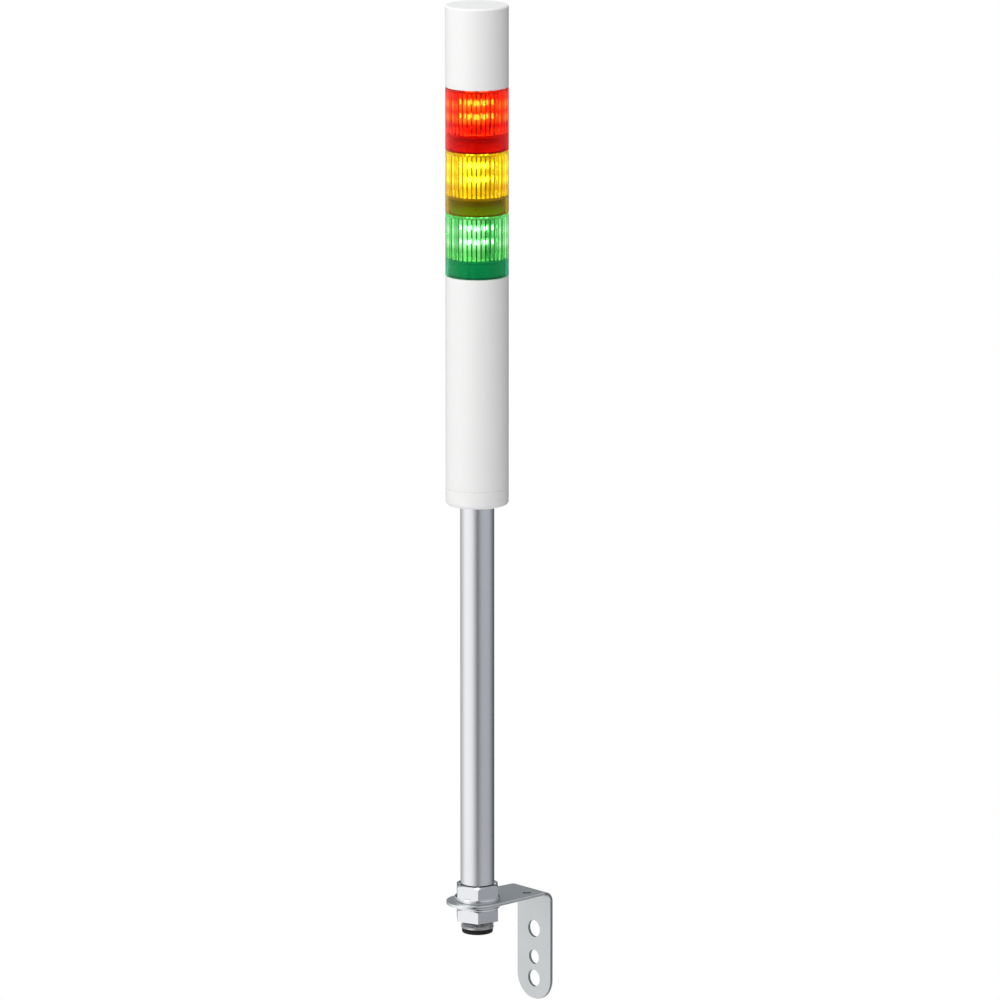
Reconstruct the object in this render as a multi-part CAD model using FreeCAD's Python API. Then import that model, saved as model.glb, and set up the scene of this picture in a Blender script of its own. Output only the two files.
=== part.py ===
"""Wall-mounted stack light: a three-colour LED signal tower on a pole and a folded wall bracket.

Frame: millimetres, +Z up the pole. The origin is the centre of the cable outlet, on the lower face
of the bush at the foot of the pole. The bracket's plate stands on the +Y side, flat against a wall.
The tower is a stack of twist-lock units: white body, green, yellow and red lights, white sounder.
"""

import FreeCAD, Part

import math
import os

Vec = FreeCAD.Vector
UP = Vec(0, 0, 1)

# --- Clearances -------------------------------------------------------------------------------
running_gap = 0.3        # between units that turn on each other
slip_gap = 0.1           # between pieces that slide together once, at assembly
shaft_gap = 0.05         # radial, pole or thread in its bore

# --- Pole, its thread and the bush at its foot ------------------------------------------------
pole_od = 21.7
pole_wall = 2.0
pole_length = 300.0
thread_od = 20.955
thread_spare = 0.2       # thread left above the upper nut
thread_chamfer = 0.8
bush_flange_radius = 9.95
bush_flange_height = 2.7
bush_flange_round = 0.9
bush_plug_length = 10.0
cable_bore_radius = 4.5

# --- Nuts and washers -------------------------------------------------------------------------
nut_across_flats = 26.0
nut_height = 8.2
nut_turn = -40.0         # direction of one corner of both nuts, degrees from +X
nut_chamfer_angle = 30.0
nut_sink_width = 1.6     # countersink of the bore in the chamfered face
nut_sink_depth = 1.0
nut_lead = 0.5           # chamfer of the bore in the bearing face
thread_stub = 5.8        # thread left below the lower nut
washer_od = 29.6
washer_bore = 21.5
washer_thickness = 2.65
washer_edge = 0.35

# --- Folded bracket ---------------------------------------------------------------------------
sheet = 2.0
arm_end_radius = 17.6
arm_end_offset = 3.1     # centre of the arm's round end, beyond the pole axis
arm_hole_radius = 10.8
bracket_width = 31.8
wall_distance = 50.7     # pole axis to the face that lies on the wall
bend_inner_radius = 5.0
plate_drop = 74.2        # arm's upper face to the plate's tip
plate_foot_flat = 1.8    # straight stretch at the plate's tip
bolt_hole_radius = 5.5
bolt_hole_drop = 27.8    # arm's upper face to the upper bolt hole
bolt_hole_spacing = 33.0
middle_hole_radius = 4.6
middle_hole_offset = 18.8
small_hole_radius = 2.75
small_hole_x = 8.3
small_hole_from_wall = 15.3

# --- Tower: sizes that every unit shares ------------------------------------------------------
tower_od = 40.0
unit_wall = 1.8
unit_height = 40.0
shoulder_thickness = 2.0
edge_break = 0.3
collar_gap = 1.3         # radial, band of one unit to collar of the next
collar_wall = 1.5
collar_height = 9.6
band_height = 11.4

# --- Twist lock -------------------------------------------------------------------------------
lock_count = 3
lug_start = -56.0        # first edge of the first lug, degrees from +X
lug_span = 41.0
lug_base = 4.2           # lug's lower face above the shoulder
lug_top = 9.4
stop_span = 15.0
stop_slot = 4.2          # degrees between a stop and its lug
hook_span = 22.0
hook_height = 2.6
seal_height = 1.0

# --- Light units ------------------------------------------------------------------------------
flute_count = 42
flute_depth = 0.7
chassis_thickness = 1.5
post_width = 11.0
post_wall = 1.2
led_board_thickness = 1.0
led_board_foot = 2.6     # board's lower edge above the chassis
led_board_height = 23.0
led_width = 3.2
led_height = 2.8
led_depth = 0.9
led_bevel = 0.25
led_column_pitch = 6.5
led_row_drops = (9.2, 18.0)

# --- Contacts between units -------------------------------------------------------------------
contact_plate_thickness = 1.6
contact_plate_drop = 1.6 # collar's rim to the plate's upper face
seat_width = 1.3
seat_height = 1.5
contact_count = 5
contact_first_radius = 3.0
contact_pitch = 2.5
contact_width = 1.4
contact_height = 0.3
contact_direction = 100.0
contact_arc = 62.0
pin_radius = 0.6

# --- White body -------------------------------------------------------------------------------
body_height = 147.5
bottom_ring_height = 11.0
bottom_ring_round = 2.5
bottom_floor = 3.0
pole_in_body = 22.6
pole_hole_gap = 0.2
spigot_height = 7.0
spigot_wall = 1.8
body_seal_height = 1.6
body_seal_rise = 3.4
body_seal_depth = 0.9
holder_flange_height = 3.0
holder_wall = 3.6
holder_lip = 2.5
holder_lip_bore = 8.0
holder_screw_count = 3
holder_screw_circle = 27.4
holder_screw_radius = 1.25
holder_screw_length = 8.0
holder_screw_head_radius = 2.1
holder_screw_head_height = 1.4
holder_screw_slot_width = 0.5
holder_screw_slot_depth = 0.6
clamp_screw_radius = 2.0
clamp_screw_rise = 9.0
power_board_width = 25.6
power_board_thickness = 1.6
power_board_height = 92.0
power_board_rise = 30.0  # above the body's underside
power_board_y = 6.0
coil_size = (13.0, 9.0, 13.0)
coil_rise = 6.0          # above the terminals
capacitor_radius = 4.0
capacitor_length = 11.0
capacitor_rise = 32.0
switch_size = (4.5, 2.4, 6.5)
switch_first_rise = 44.0
switch_pitch = 9.0
switch_rows = 3
board_part_x = 6.0       # both columns of small parts from the board's middle
rail_width = 4.4
rail_depth = 2.2
rail_reach = 1.6
terminal_width = 22.0
terminal_depth = 9.0
terminal_height = 12.0
terminal_count = 6
terminal_screw_radius = 1.3
terminal_screw_depth = 3.0
terminal_screw_rise = 8.4
terminal_wire_depth = 5.0
terminal_wire_height = 4.0
terminal_rise = 4.0      # above the board's lower edge

# --- Sounder unit -----------------------------------------------------------------------------
sounder_height = 52.0
sounder_top_thickness = 2.2
sounder_top_round = 1.2
capsule_radius = 13.5
capsule_height = 7.5
capsule_nose_radius = 4.0
capsule_nose_height = 1.2
cup_wall = 1.3
cup_floor = 1.5
cup_rise = 15.0          # cup's floor above the chassis
stem_radius = 10.5
stem_wall = 1.3
sounder_board_rise = 7.0
sounder_board_thickness = 1.2
slot_count = 5
slot_length = 13.0
slot_height = 1.6
slot_pitch = 3.4
slot_first_rise = 27.0

# --- Levels, from the cable outlet up ---------------------------------------------------------
pole_foot = bush_flange_height
lower_nut_z = pole_foot + thread_stub
lower_washer_z = lower_nut_z + nut_height
arm_z = lower_washer_z + washer_thickness
arm_top = arm_z + sheet
upper_washer_z = arm_top
upper_nut_z = upper_washer_z + washer_thickness
pole_top = pole_foot + pole_length
body_z = pole_top - pole_in_body
body_top = body_z + body_height

# --- Radii worked out from the sizes above ----------------------------------------------------
tower_radius = tower_od / 2
unit_bore = tower_radius - unit_wall
collar_radius = unit_bore - collar_gap
collar_bore = collar_radius - collar_wall
lug_radius = unit_bore - running_gap
hook_radius = collar_radius + running_gap
pole_radius = pole_od / 2
pole_bore = pole_radius - pole_wall
thread_radius = thread_od / 2
chassis_radius = unit_bore - slip_gap
chassis_z = band_height - chassis_thickness
shoulder_rise = unit_height - running_gap
contact_plate_rise = collar_height - contact_plate_drop
seat_rise = contact_plate_rise - contact_plate_thickness - seat_height
lock_pitch = 360.0 / lock_count


def cylinder(radius, z, height):
    """Upright cylinder on the pole axis."""
    return Part.makeCylinder(radius, height, Vec(0, 0, z))


def ring(outer, inner, z, height):
    """Upright ring on the pole axis."""
    return cylinder(outer, z, height).cut(cylinder(inner, z, height))


def sector(outer, inner, z, height, start, span):
    """Part of an upright ring, from the direction start through span degrees."""
    whole = Part.makeCylinder(outer, height, Vec(0, 0, z), UP, span)
    core = cylinder(inner, z, height)
    return turned(whole.cut(core), start)


def block(width, depth, height, x, y, z):
    """Box centred on x and y that stands on z."""
    return Part.makeBox(width, depth, height, Vec(x - width / 2, y - depth / 2, z))


def turned(shape, degrees):
    """Copy of a shape, turned about the pole axis."""
    copy = shape.copy()
    copy.rotate(Vec(0, 0, 0), UP, degrees)
    return copy


def lifted(shape, rise):
    """Copy of a shape, moved up."""
    copy = shape.copy()
    copy.translate(Vec(0, 0, rise))
    return copy


def revolved(points):
    """Solid of revolution about the pole axis, from (radius, z) points in order."""
    outline = Part.makePolygon([Vec(r, 0, z) for r, z in points + points[:1]])
    return Part.Face(outline).revolve(Vec(0, 0, 0), UP, 360)


def around(shape, count, first=0.0):
    """Copies of a shape at equal angles round the pole axis."""
    return [turned(shape, first + 360.0 * k / count) for k in range(count)]


def circle_edges(shape, radius, z):
    """The full circles of a given radius at a given height."""
    found = []
    for edge in shape.Edges:
        curve = edge.Curve
        if isinstance(curve, Part.Circle) and abs(curve.Radius - radius) < 1e-4:
            if abs(curve.Center.z - z) < 1e-4:
                found.append(edge)
    return found


def joined(first, others):
    """One clean solid from pieces that touch or overlap."""
    return first.fuse(others).removeSplitter()


# --- Bracket ----------------------------------------------------------------------------------

def arm_outline():
    """Plan of the arm: a round end just beyond the pole, and sides that run in to the plate."""
    half = bracket_width / 2
    corner = Vec(half, wall_distance - sheet - bend_inner_radius, 0)
    centre_y = -arm_end_offset
    reach = math.hypot(corner.x, corner.y - centre_y)
    tangent = math.atan2(corner.y - centre_y, corner.x) - math.acos(arm_end_radius / reach)
    touch = Vec(arm_end_radius * math.cos(tangent), centre_y + arm_end_radius * math.sin(tangent), 0)
    far = wall_distance
    mirror = lambda p: Vec(-p.x, p.y, p.z)
    right = [touch, corner, Vec(half, far, 0)]
    left = [mirror(p) for p in reversed(right)]
    sides = [Part.makeLine(a, b) for a, b in zip(right + left[:-1], (right + left)[1:])]
    end = Part.Arc(left[-1], Vec(0, centre_y - arm_end_radius, 0), touch).toShape()
    return Part.Wire(sides + [end])


def plate_outline():
    """Front view of the plate, from the bend down to its rounded foot."""
    half = bracket_width / 2
    foot = arm_top - plate_drop
    r = half - plate_foot_flat / 2
    lean = math.sqrt(0.5) * r
    top = arm_top - sheet - bend_inner_radius
    low = foot + r
    mid_right = Vec(half - r + lean, 0, low - lean)
    mid_left = Vec(r - half - lean, 0, low - lean)
    edges = [
        Part.makeLine(Vec(-half, 0, top), Vec(half, 0, top)),
        Part.makeLine(Vec(half, 0, top), Vec(half, 0, low)),
        Part.Arc(Vec(half, 0, low), mid_right, Vec(half - r, 0, foot)).toShape(),
        Part.makeLine(Vec(half - r, 0, foot), Vec(r - half, 0, foot)),
        Part.Arc(Vec(r - half, 0, foot), mid_left, Vec(-half, 0, low)).toShape(),
        Part.makeLine(Vec(-half, 0, low), Vec(-half, 0, top)),
    ]
    return Part.Wire(edges)


def bend():
    """Quarter-round fold between the arm and the plate."""
    outer = bend_inner_radius + sheet
    centre = Vec(-bracket_width / 2, wall_distance - outer, arm_top - outer)
    along = Vec(1, 0, 0)
    solid = Part.makeCylinder(outer, bracket_width, centre, along)
    solid = solid.cut(Part.makeCylinder(bend_inner_radius, bracket_width, centre, along))
    quarter = Part.makeBox(bracket_width, outer, outer, centre)
    return solid.common(quarter)


def make_bracket():
    """Sheet folded once: arm under the nuts, plate against the wall."""
    start = wall_distance - sheet - bend_inner_radius
    arm = Part.Face(arm_outline()).extrude(UP * sheet)
    arm.translate(Vec(0, 0, arm_z))
    beyond = Part.makeBox(2 * bracket_width, wall_distance, sheet, Vec(-bracket_width, start, arm_z))
    arm = arm.cut(beyond)
    plate = Part.Face(plate_outline()).extrude(Vec(0, sheet, 0))
    plate.translate(Vec(0, wall_distance - sheet, 0))
    solid = joined(arm, [bend(), plate])
    solid = solid.cut(cylinder(arm_hole_radius, arm_z, sheet))
    small = Vec(small_hole_x, wall_distance - small_hole_from_wall, arm_z)
    solid = solid.cut(Part.makeCylinder(small_hole_radius, sheet, small))
    upper = arm_top - bolt_hole_drop
    holes = [
        (bolt_hole_radius, upper),
        (middle_hole_radius, upper - middle_hole_offset),
        (bolt_hole_radius, upper - bolt_hole_spacing),
    ]
    for radius, z in holes:
        centre = Vec(0, wall_distance - sheet, z)
        solid = solid.cut(Part.makeCylinder(radius, sheet, centre, Vec(0, 1, 0)))
    return solid


# --- Pole and its fastenings ------------------------------------------------------------------

def make_pole():
    """Tube whose foot is turned down and threaded; the thread is shown by its outer diameter."""
    shoulder = upper_nut_z + nut_height + thread_spare
    return revolved([
        (pole_bore, pole_foot),
        (thread_radius - thread_chamfer, pole_foot),
        (thread_radius, pole_foot + thread_chamfer),
        (thread_radius, shoulder),
        (pole_radius, shoulder + pole_radius - thread_radius),
        (pole_radius, pole_top),
        (pole_bore, pole_top),
    ])


def make_nut(z):
    """Hexagon nut whose upper face is chamfered and countersunk."""
    flat = nut_across_flats / 2
    corner = flat / math.cos(math.radians(30))
    points = []
    for k in range(7):
        a = math.radians(60 * k)
        points.append(Vec(corner * math.cos(a), corner * math.sin(a), 0))
    prism = Part.Face(Part.makePolygon(points)).extrude(UP * nut_height)
    rise = (corner - flat) * math.tan(math.radians(nut_chamfer_angle))
    turning = revolved([
        (0, 0),
        (corner, 0),
        (corner, nut_height - rise),
        (flat, nut_height),
        (0, nut_height),
    ])
    bore = thread_radius + shaft_gap
    hole = revolved([
        (0, 0),
        (bore + nut_lead, 0),
        (bore, nut_lead),
        (bore, nut_height - nut_sink_depth),
        (bore + nut_sink_width, nut_height),
        (0, nut_height),
    ])
    nut = prism.common(turning).cut(hole)
    return lifted(turned(nut, nut_turn), z)


def make_washer(z):
    """Plain thick washer with broken edges."""
    washer = ring(washer_od / 2, washer_bore / 2, z, washer_thickness)
    edges = circle_edges(washer, washer_od / 2, z) + circle_edges(washer, washer_od / 2, z + washer_thickness)
    return washer.makeChamfer(washer_edge, edges)


def make_end_bush():
    """Bush that plugs the foot of the pole and lets the cable out."""
    plug = cylinder(pole_bore - shaft_gap, pole_foot, bush_plug_length)
    flange = cylinder(bush_flange_radius, 0, bush_flange_height)
    flange = flange.makeFillet(bush_flange_round, circle_edges(flange, bush_flange_radius, 0))
    bush = joined(flange, [plug])
    return bush.cut(cylinder(cable_bore_radius, 0, bush_flange_height + bush_plug_length))


# --- Twist lock and contacts, shared by every unit --------------------------------------------

def collar(shoulder):
    """Collar that stands on a unit: tube, lock lugs and their stops, and a seat for the contacts."""
    tube = ring(collar_radius, collar_bore, shoulder - shoulder_thickness, shoulder_thickness + collar_height)
    seat = ring(collar_bore, collar_bore - seat_width, shoulder + seat_rise, seat_height)
    root = collar_radius - collar_wall / 2
    lug = sector(lug_radius, root, shoulder + lug_base, lug_top - lug_base, lug_start, lug_span)
    foot = seal_height + running_gap
    stop_start = lug_start - stop_slot - stop_span
    stop = sector(lug_radius, root, shoulder + foot, lug_top - foot, stop_start, stop_span)
    return joined(tube, [seat] + around(lug, lock_count) + around(stop, lock_count))


def hooks(foot):
    """Hooks inside a unit's band, which turn in under the lugs of the collar below."""
    base = foot - running_gap + seal_height + running_gap
    turn_gap = math.degrees(running_gap / hook_radius)
    start = lug_start - stop_slot + turn_gap
    hook = sector(unit_bore + unit_wall / 2, hook_radius, base, hook_height, start, hook_span)
    return around(hook, lock_count)


def make_seal(shoulder):
    """Flat ring seal round the foot of a collar."""
    return ring(lug_radius, collar_radius, shoulder, seal_height)


def make_contact_plate(shoulder):
    """Round board that lies on the seat inside a collar."""
    z = shoulder + seat_rise + seat_height
    return cylinder(collar_bore - slip_gap, z, contact_plate_thickness)


def contact_radii():
    """Radii of the contact tracks, one for each circuit."""
    return [contact_first_radius + contact_pitch * k for k in range(contact_count)]


def make_contact_tracks(shoulder):
    """Metal tracks on the contact plate, long enough for the whole twist."""
    z = shoulder + contact_plate_rise
    half = contact_width / 2
    start = contact_direction - contact_arc
    tracks = [sector(r + half, r - half, z, contact_height, start, contact_arc) for r in contact_radii()]
    return Part.makeCompound(tracks)


def make_contact_pins(foot):
    """Pins under a unit's chassis, one over each track of the plate below."""
    tip = foot - running_gap + contact_plate_rise + contact_height + running_gap
    top = foot + chassis_z
    angle = math.radians(contact_direction - contact_arc / 9)
    pins = []
    for r in contact_radii():
        place = Vec(r * math.cos(angle), r * math.sin(angle), tip)
        pins.append(Part.makeCylinder(pin_radius, top - tip, place))
    return Part.makeCompound(pins)


# --- Light units ------------------------------------------------------------------------------

def flute_core(z, height):
    """Room inside a lens, its side cut by upright ribs of V section that point inwards."""
    step = math.pi / flute_count
    points = []
    for k in range(2 * flute_count + 1):
        r = unit_bore - flute_depth * (k % 2)
        points.append(Vec(r * math.cos(k * step), r * math.sin(k * step), z))
    return Part.Face(Part.makePolygon(points)).extrude(UP * height)


def make_lens(foot):
    """Coloured moulding: smooth outside, ribbed inside, hooks in its band, lock collar on top."""
    shell = cylinder(tower_radius, foot, shoulder_rise)
    rims = circle_edges(shell, tower_radius, foot) + circle_edges(shell, tower_radius, foot + shoulder_rise)
    shell = shell.makeChamfer(edge_break, rims)
    shell = shell.cut(cylinder(unit_bore, foot, band_height))
    lit_height = shoulder_rise - band_height - shoulder_thickness
    shell = shell.cut(flute_core(foot + band_height, lit_height))
    mouth = foot + shoulder_rise
    shell = shell.cut(cylinder(collar_bore, mouth - shoulder_thickness, shoulder_thickness))
    return joined(shell, [collar(mouth)] + hooks(foot))


def make_chassis(foot):
    """Base disc and hollow square post that carry a unit's boards."""
    disc = cylinder(chassis_radius, foot + chassis_z, chassis_thickness)
    base = foot + band_height
    top = foot + shoulder_rise + seat_rise + seat_height
    post = block(post_width, post_width, top - base, 0, 0, base)
    inner = post_width - 2 * post_wall
    bore = block(inner, inner, top - base, 0, 0, base)
    return joined(disc, [post.cut(bore)])


def make_led_boards(foot):
    """Four narrow boards, one on each side of the post."""
    z = foot + band_height + led_board_foot
    y = post_width / 2 + led_board_thickness / 2
    board = block(post_width, led_board_thickness, led_board_height, 0, -y, z)
    return Part.makeCompound(around(board, 4))


def make_leds(foot):
    """Light-emitting diodes, two columns and two rows on each board."""
    face = post_width / 2 + led_board_thickness
    leds = []
    for drop in led_row_drops:
        for side in (-1, 1):
            x = side * led_column_pitch / 2
            z = foot + shoulder_rise - drop - led_height / 2
            led = block(led_width, led_depth, led_height, x, -face - led_depth / 2, z)
            front = [e for e in led.Edges if abs(e.CenterOfMass.y + face + led_depth) < 1e-6]
            leds += around(led.makeChamfer(led_bevel, front), 4)
    return Part.makeCompound(leds)


def light_unit(colour, foot):
    """Every piece of one light, by node name."""
    mouth = foot + shoulder_rise
    return {
        colour + "_lens": make_lens(foot),
        colour + "_chassis": make_chassis(foot),
        colour + "_led_boards": make_led_boards(foot),
        colour + "_leds": make_leds(foot),
        colour + "_contact_plate": make_contact_plate(mouth),
        colour + "_contact_tracks": make_contact_tracks(mouth),
        colour + "_contact_pins": make_contact_pins(foot),
        colour + "_seal": make_seal(mouth),
    }


# --- White body -------------------------------------------------------------------------------

def make_bottom_ring():
    """Cup that closes the body round the pole, with a spigot for the housing."""
    seam = body_z + bottom_ring_height
    cup = cylinder(tower_radius, body_z, bottom_ring_height)
    cup = cup.makeFillet(bottom_ring_round, circle_edges(cup, tower_radius, body_z))
    cup = cup.makeChamfer(edge_break, circle_edges(cup, tower_radius, seam))
    spigot_radius = unit_bore - slip_gap
    spigot = cylinder(spigot_radius, seam - edge_break, spigot_height + edge_break)
    bore = spigot_radius - spigot_wall
    floor = body_z + bottom_floor
    room = cylinder(bore, floor, seam + spigot_height - floor)
    ring_solid = joined(cup, [spigot]).cut(room)
    ring_solid = ring_solid.cut(cylinder(pole_radius + pole_hole_gap, body_z, bottom_floor))
    groove_z = seam + body_seal_rise
    groove = ring(spigot_radius, spigot_radius - body_seal_depth, groove_z, body_seal_height)
    ring_solid = ring_solid.cut(groove)
    at = Vec(holder_screw_circle / 2, 0, body_z)
    hole = Part.makeCylinder(holder_screw_radius + slip_gap, bottom_floor, at)
    sink = Part.makeCylinder(holder_screw_head_radius + slip_gap, holder_screw_head_height, at)
    return ring_solid.cut(around(hole.fuse(sink), holder_screw_count, lug_start))


def make_body_seal():
    """Seal in the spigot's groove."""
    spigot_radius = unit_bore - slip_gap
    z = body_z + bottom_ring_height + body_seal_rise
    return ring(spigot_radius, spigot_radius - body_seal_depth, z, body_seal_height)


def make_pole_holder():
    """Cast socket on the cup's floor that grips the head of the pole."""
    floor = body_z + bottom_floor
    flange_radius = unit_bore - slip_gap - spigot_wall - slip_gap
    top = pole_top + running_gap + holder_lip
    hub = cylinder(pole_radius + shaft_gap + holder_wall, floor, top - floor)
    holder = joined(cylinder(flange_radius, floor, holder_flange_height), [hub])
    holder = holder.cut(cylinder(pole_radius + shaft_gap, floor, pole_top + running_gap - floor))
    holder = holder.cut(cylinder(holder_lip_bore, pole_top, top - pole_top))
    depth = holder_screw_head_height + holder_screw_length - bottom_floor
    at = Vec(holder_screw_circle / 2, 0, floor)
    hole = Part.makeCylinder(holder_screw_radius + shaft_gap, depth, at)
    holder = holder.cut(around(hole, holder_screw_count, lug_start))
    return holder.cut([clamp_screw_hole(turn) for turn in clamp_screw_turns()])


def clamp_screw_turns():
    """Directions of the two clamp screws."""
    return (lug_start - 90.0, lug_start + 90.0)


def clamp_screw_hole(turn):
    """Radial hole in the holder's wall for a clamp screw."""
    z = body_z + bottom_floor + clamp_screw_rise
    length = holder_wall + 2 * shaft_gap
    start = Vec(pole_radius, 0, z)
    return turned(Part.makeCylinder(clamp_screw_radius + shaft_gap, length, start, Vec(1, 0, 0)), turn)


def make_clamp_screws():
    """Headless screws that press on the pole."""
    z = body_z + bottom_floor + clamp_screw_rise
    start = Vec(pole_radius + shaft_gap, 0, z)
    screw = Part.makeCylinder(clamp_screw_radius, holder_wall, start, Vec(1, 0, 0))
    return Part.makeCompound([turned(screw, turn) for turn in clamp_screw_turns()])


def make_holder_screws():
    """Screws through the cup's floor into the pole holder, heads sunk."""
    at = Vec(holder_screw_circle / 2, 0, body_z)
    head = Part.makeCylinder(holder_screw_head_radius, holder_screw_head_height, at)
    shank = Part.makeCylinder(holder_screw_radius, holder_screw_head_height + holder_screw_length, at)
    across = 2 * holder_screw_head_radius
    slot = block(across, holder_screw_slot_width, holder_screw_slot_depth, at.x, 0, body_z)
    screw = head.fuse(shank).removeSplitter().cut(slot)
    return Part.makeCompound(around(screw, holder_screw_count, lug_start))


def make_body_housing():
    """White tube with rails for the power board inside and a lock collar on top."""
    seam = body_z + bottom_ring_height
    height = body_top - seam
    shell = cylinder(tower_radius, seam, height)
    rims = circle_edges(shell, tower_radius, seam) + circle_edges(shell, tower_radius, body_top)
    shell = shell.makeChamfer(edge_break, rims)
    shell = shell.cut(cylinder(unit_bore, seam, height - shoulder_thickness))
    shell = shell.cut(cylinder(collar_bore, body_top - shoulder_thickness, shoulder_thickness))
    rail_z = body_z + power_board_rise
    rails = []
    for side in (-1, 1):
        inner = power_board_width / 2 - rail_reach
        width = tower_radius - inner
        x = side * (inner + width / 2)
        rail = block(width, rail_width, power_board_height, x, power_board_y, rail_z)
        rail = rail.common(cylinder(tower_radius - unit_wall / 2, rail_z, power_board_height))
        rails.append(rail)
    gap = power_board_thickness + 2 * slip_gap
    slot = block(power_board_width + 2 * slip_gap, gap, power_board_height, 0, power_board_y, rail_z)
    rails = [rail.cut(slot) for rail in rails]
    return joined(shell, [collar(body_top)] + rails)


def make_power_board():
    """Upright board that slides in the housing's rails."""
    z = body_z + power_board_rise
    return block(power_board_width, power_board_thickness, power_board_height, 0, power_board_y, z)


def make_board_parts():
    """Coil, capacitors and switches on the power board."""
    face = power_board_y - power_board_thickness / 2
    base = body_z + power_board_rise + terminal_rise + terminal_height
    width, depth, height = coil_size
    parts = [block(width, depth, height, 0, face - depth / 2, base + coil_rise)]
    width, depth, height = switch_size
    for x in (-board_part_x, board_part_x):
        at = Vec(x, face, base + capacitor_rise)
        parts.append(Part.makeCylinder(capacitor_radius, capacitor_length, at, Vec(0, -1, 0)))
        for k in range(switch_rows):
            z = base + switch_first_rise + switch_pitch * k
            parts.append(block(width, depth, height, x, face - depth / 2, z))
    return Part.makeCompound(parts)


def make_terminal_block():
    """Screw terminals for the supply cable, at the board's lower end."""
    face = power_board_y - power_board_thickness / 2
    z = body_z + power_board_rise + terminal_rise
    y = face - terminal_depth / 2
    solid = block(terminal_width, terminal_depth, terminal_height, 0, y, z)
    pitch = terminal_width / terminal_count
    cuts = []
    for k in range(terminal_count):
        x = pitch * (k + 0.5) - terminal_width / 2
        at = Vec(x, face - terminal_depth, z + terminal_screw_rise)
        cuts.append(Part.makeCylinder(terminal_screw_radius, terminal_screw_depth, at, Vec(0, 1, 0)))
        width = 2 * terminal_screw_radius
        cuts.append(block(width, terminal_wire_depth, terminal_wire_height, x, y, z))
    return solid.cut(cuts)


# --- Sounder unit -----------------------------------------------------------------------------

def sounder_foot():
    """Height of the sounder's lower edge."""
    return body_top + running_gap + 3 * unit_height


def make_sounder_cover():
    """White cap with sound slots on its -X side."""
    foot = sounder_foot()
    height = sounder_height - running_gap
    top = foot + height
    shell = cylinder(tower_radius, foot, height)
    shell = shell.makeFillet(sounder_top_round, circle_edges(shell, tower_radius, top))
    shell = shell.makeChamfer(edge_break, circle_edges(shell, tower_radius, foot))
    shell = shell.cut(cylinder(unit_bore, foot, height - sounder_top_thickness))
    slots = []
    for k in range(slot_count):
        z = foot + slot_first_rise + slot_pitch * k
        slots.append(block(tower_od, slot_length, slot_height, -tower_radius, 0, z))
    return joined(shell.cut(slots), hooks(foot))


def make_sounder_chassis():
    """Base disc, stem with a board ledge, and cup for the capsule."""
    foot = sounder_foot()
    disc = cylinder(chassis_radius, foot + chassis_z, chassis_thickness)
    base = foot + band_height
    stem = ring(stem_radius, stem_radius - stem_wall, base, cup_rise)
    ledge = ring(stem_radius - stem_wall, stem_radius - 2 * stem_wall, base, sounder_board_rise)
    cup_outer = capsule_radius + slip_gap + cup_wall
    cup_z = base + cup_rise
    cup = cylinder(cup_outer, cup_z, cup_floor + capsule_height)
    cup = cup.cut(cylinder(capsule_radius + slip_gap, cup_z + cup_floor, capsule_height))
    cup = cup.cut(cylinder(stem_radius - 2 * stem_wall, cup_z, cup_floor))
    return joined(disc, [stem, ledge, cup])


def make_sounder_board():
    """Round board on the ledge in the stem."""
    z = sounder_foot() + band_height + sounder_board_rise
    return cylinder(stem_radius - stem_wall - slip_gap, z, sounder_board_thickness)


def make_sounder_capsule():
    """Buzzer capsule in its cup, with a short nose and sound hole on top."""
    z = sounder_foot() + band_height + cup_rise + cup_floor
    case = cylinder(capsule_radius, z, capsule_height)
    nose = cylinder(capsule_nose_radius, z + capsule_height, capsule_nose_height)
    hole_depth = 2 * capsule_nose_height
    mouth = z + capsule_height + capsule_nose_height
    return joined(case, [nose]).cut(cylinder(capsule_nose_radius / 2, mouth - hole_depth, hole_depth))


# --- Assembly ---------------------------------------------------------------------------------

def all_nodes():
    """Every piece of the product, by node name."""
    nodes = {
        "wall_bracket": make_bracket(),
        "pole": make_pole(),
        "end_bush": make_end_bush(),
        "lower_nut": make_nut(lower_nut_z),
        "upper_nut": make_nut(upper_nut_z),
        "lower_washer": make_washer(lower_washer_z),
        "upper_washer": make_washer(upper_washer_z),
        "body_bottom_ring": make_bottom_ring(),
        "body_housing": make_body_housing(),
        "body_seal": make_body_seal(),
        "pole_holder": make_pole_holder(),
        "pole_clamp_screws": make_clamp_screws(),
        "holder_screws": make_holder_screws(),
        "power_board": make_power_board(),
        "power_board_parts": make_board_parts(),
        "terminal_block": make_terminal_block(),
        "body_contact_plate": make_contact_plate(body_top),
        "body_contact_tracks": make_contact_tracks(body_top),
        "body_collar_seal": make_seal(body_top),
    }
    for level, colour in enumerate(("green", "yellow", "red")):
        foot = body_top + running_gap + level * unit_height
        nodes.update(light_unit(colour, foot))
    nodes["sounder_cover"] = make_sounder_cover()
    nodes["sounder_chassis"] = make_sounder_chassis()
    nodes["sounder_board"] = make_sounder_board()
    nodes["sounder_capsule"] = make_sounder_capsule()
    nodes["sounder_contact_pins"] = make_contact_pins(sounder_foot())
    return nodes


def write_parts():
    """One STEP file for each node."""
    os.makedirs("parts", exist_ok=True)
    for name, shape in all_nodes().items():
        if not shape.isValid():
            raise ValueError(name + " is not a valid shape")
        print(name, len(shape.Solids), "solids", round(shape.Volume, 1), "mm3")
        shape.exportStep("parts/" + name + ".step")


write_parts()
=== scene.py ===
"""Stack light: finishes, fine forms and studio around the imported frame.

The frame is in metres, +Z up the pole, with its origin at the cable outlet under the pole.
The wall plate stands on the +Y side. Each sub-assembly is a class whose fields are its sizes,
and each finish is a frozen dataclass that builds one material.
"""

import logging
import math
from dataclasses import dataclass, field, replace
from enum import Enum
from typing import Sequence

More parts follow.
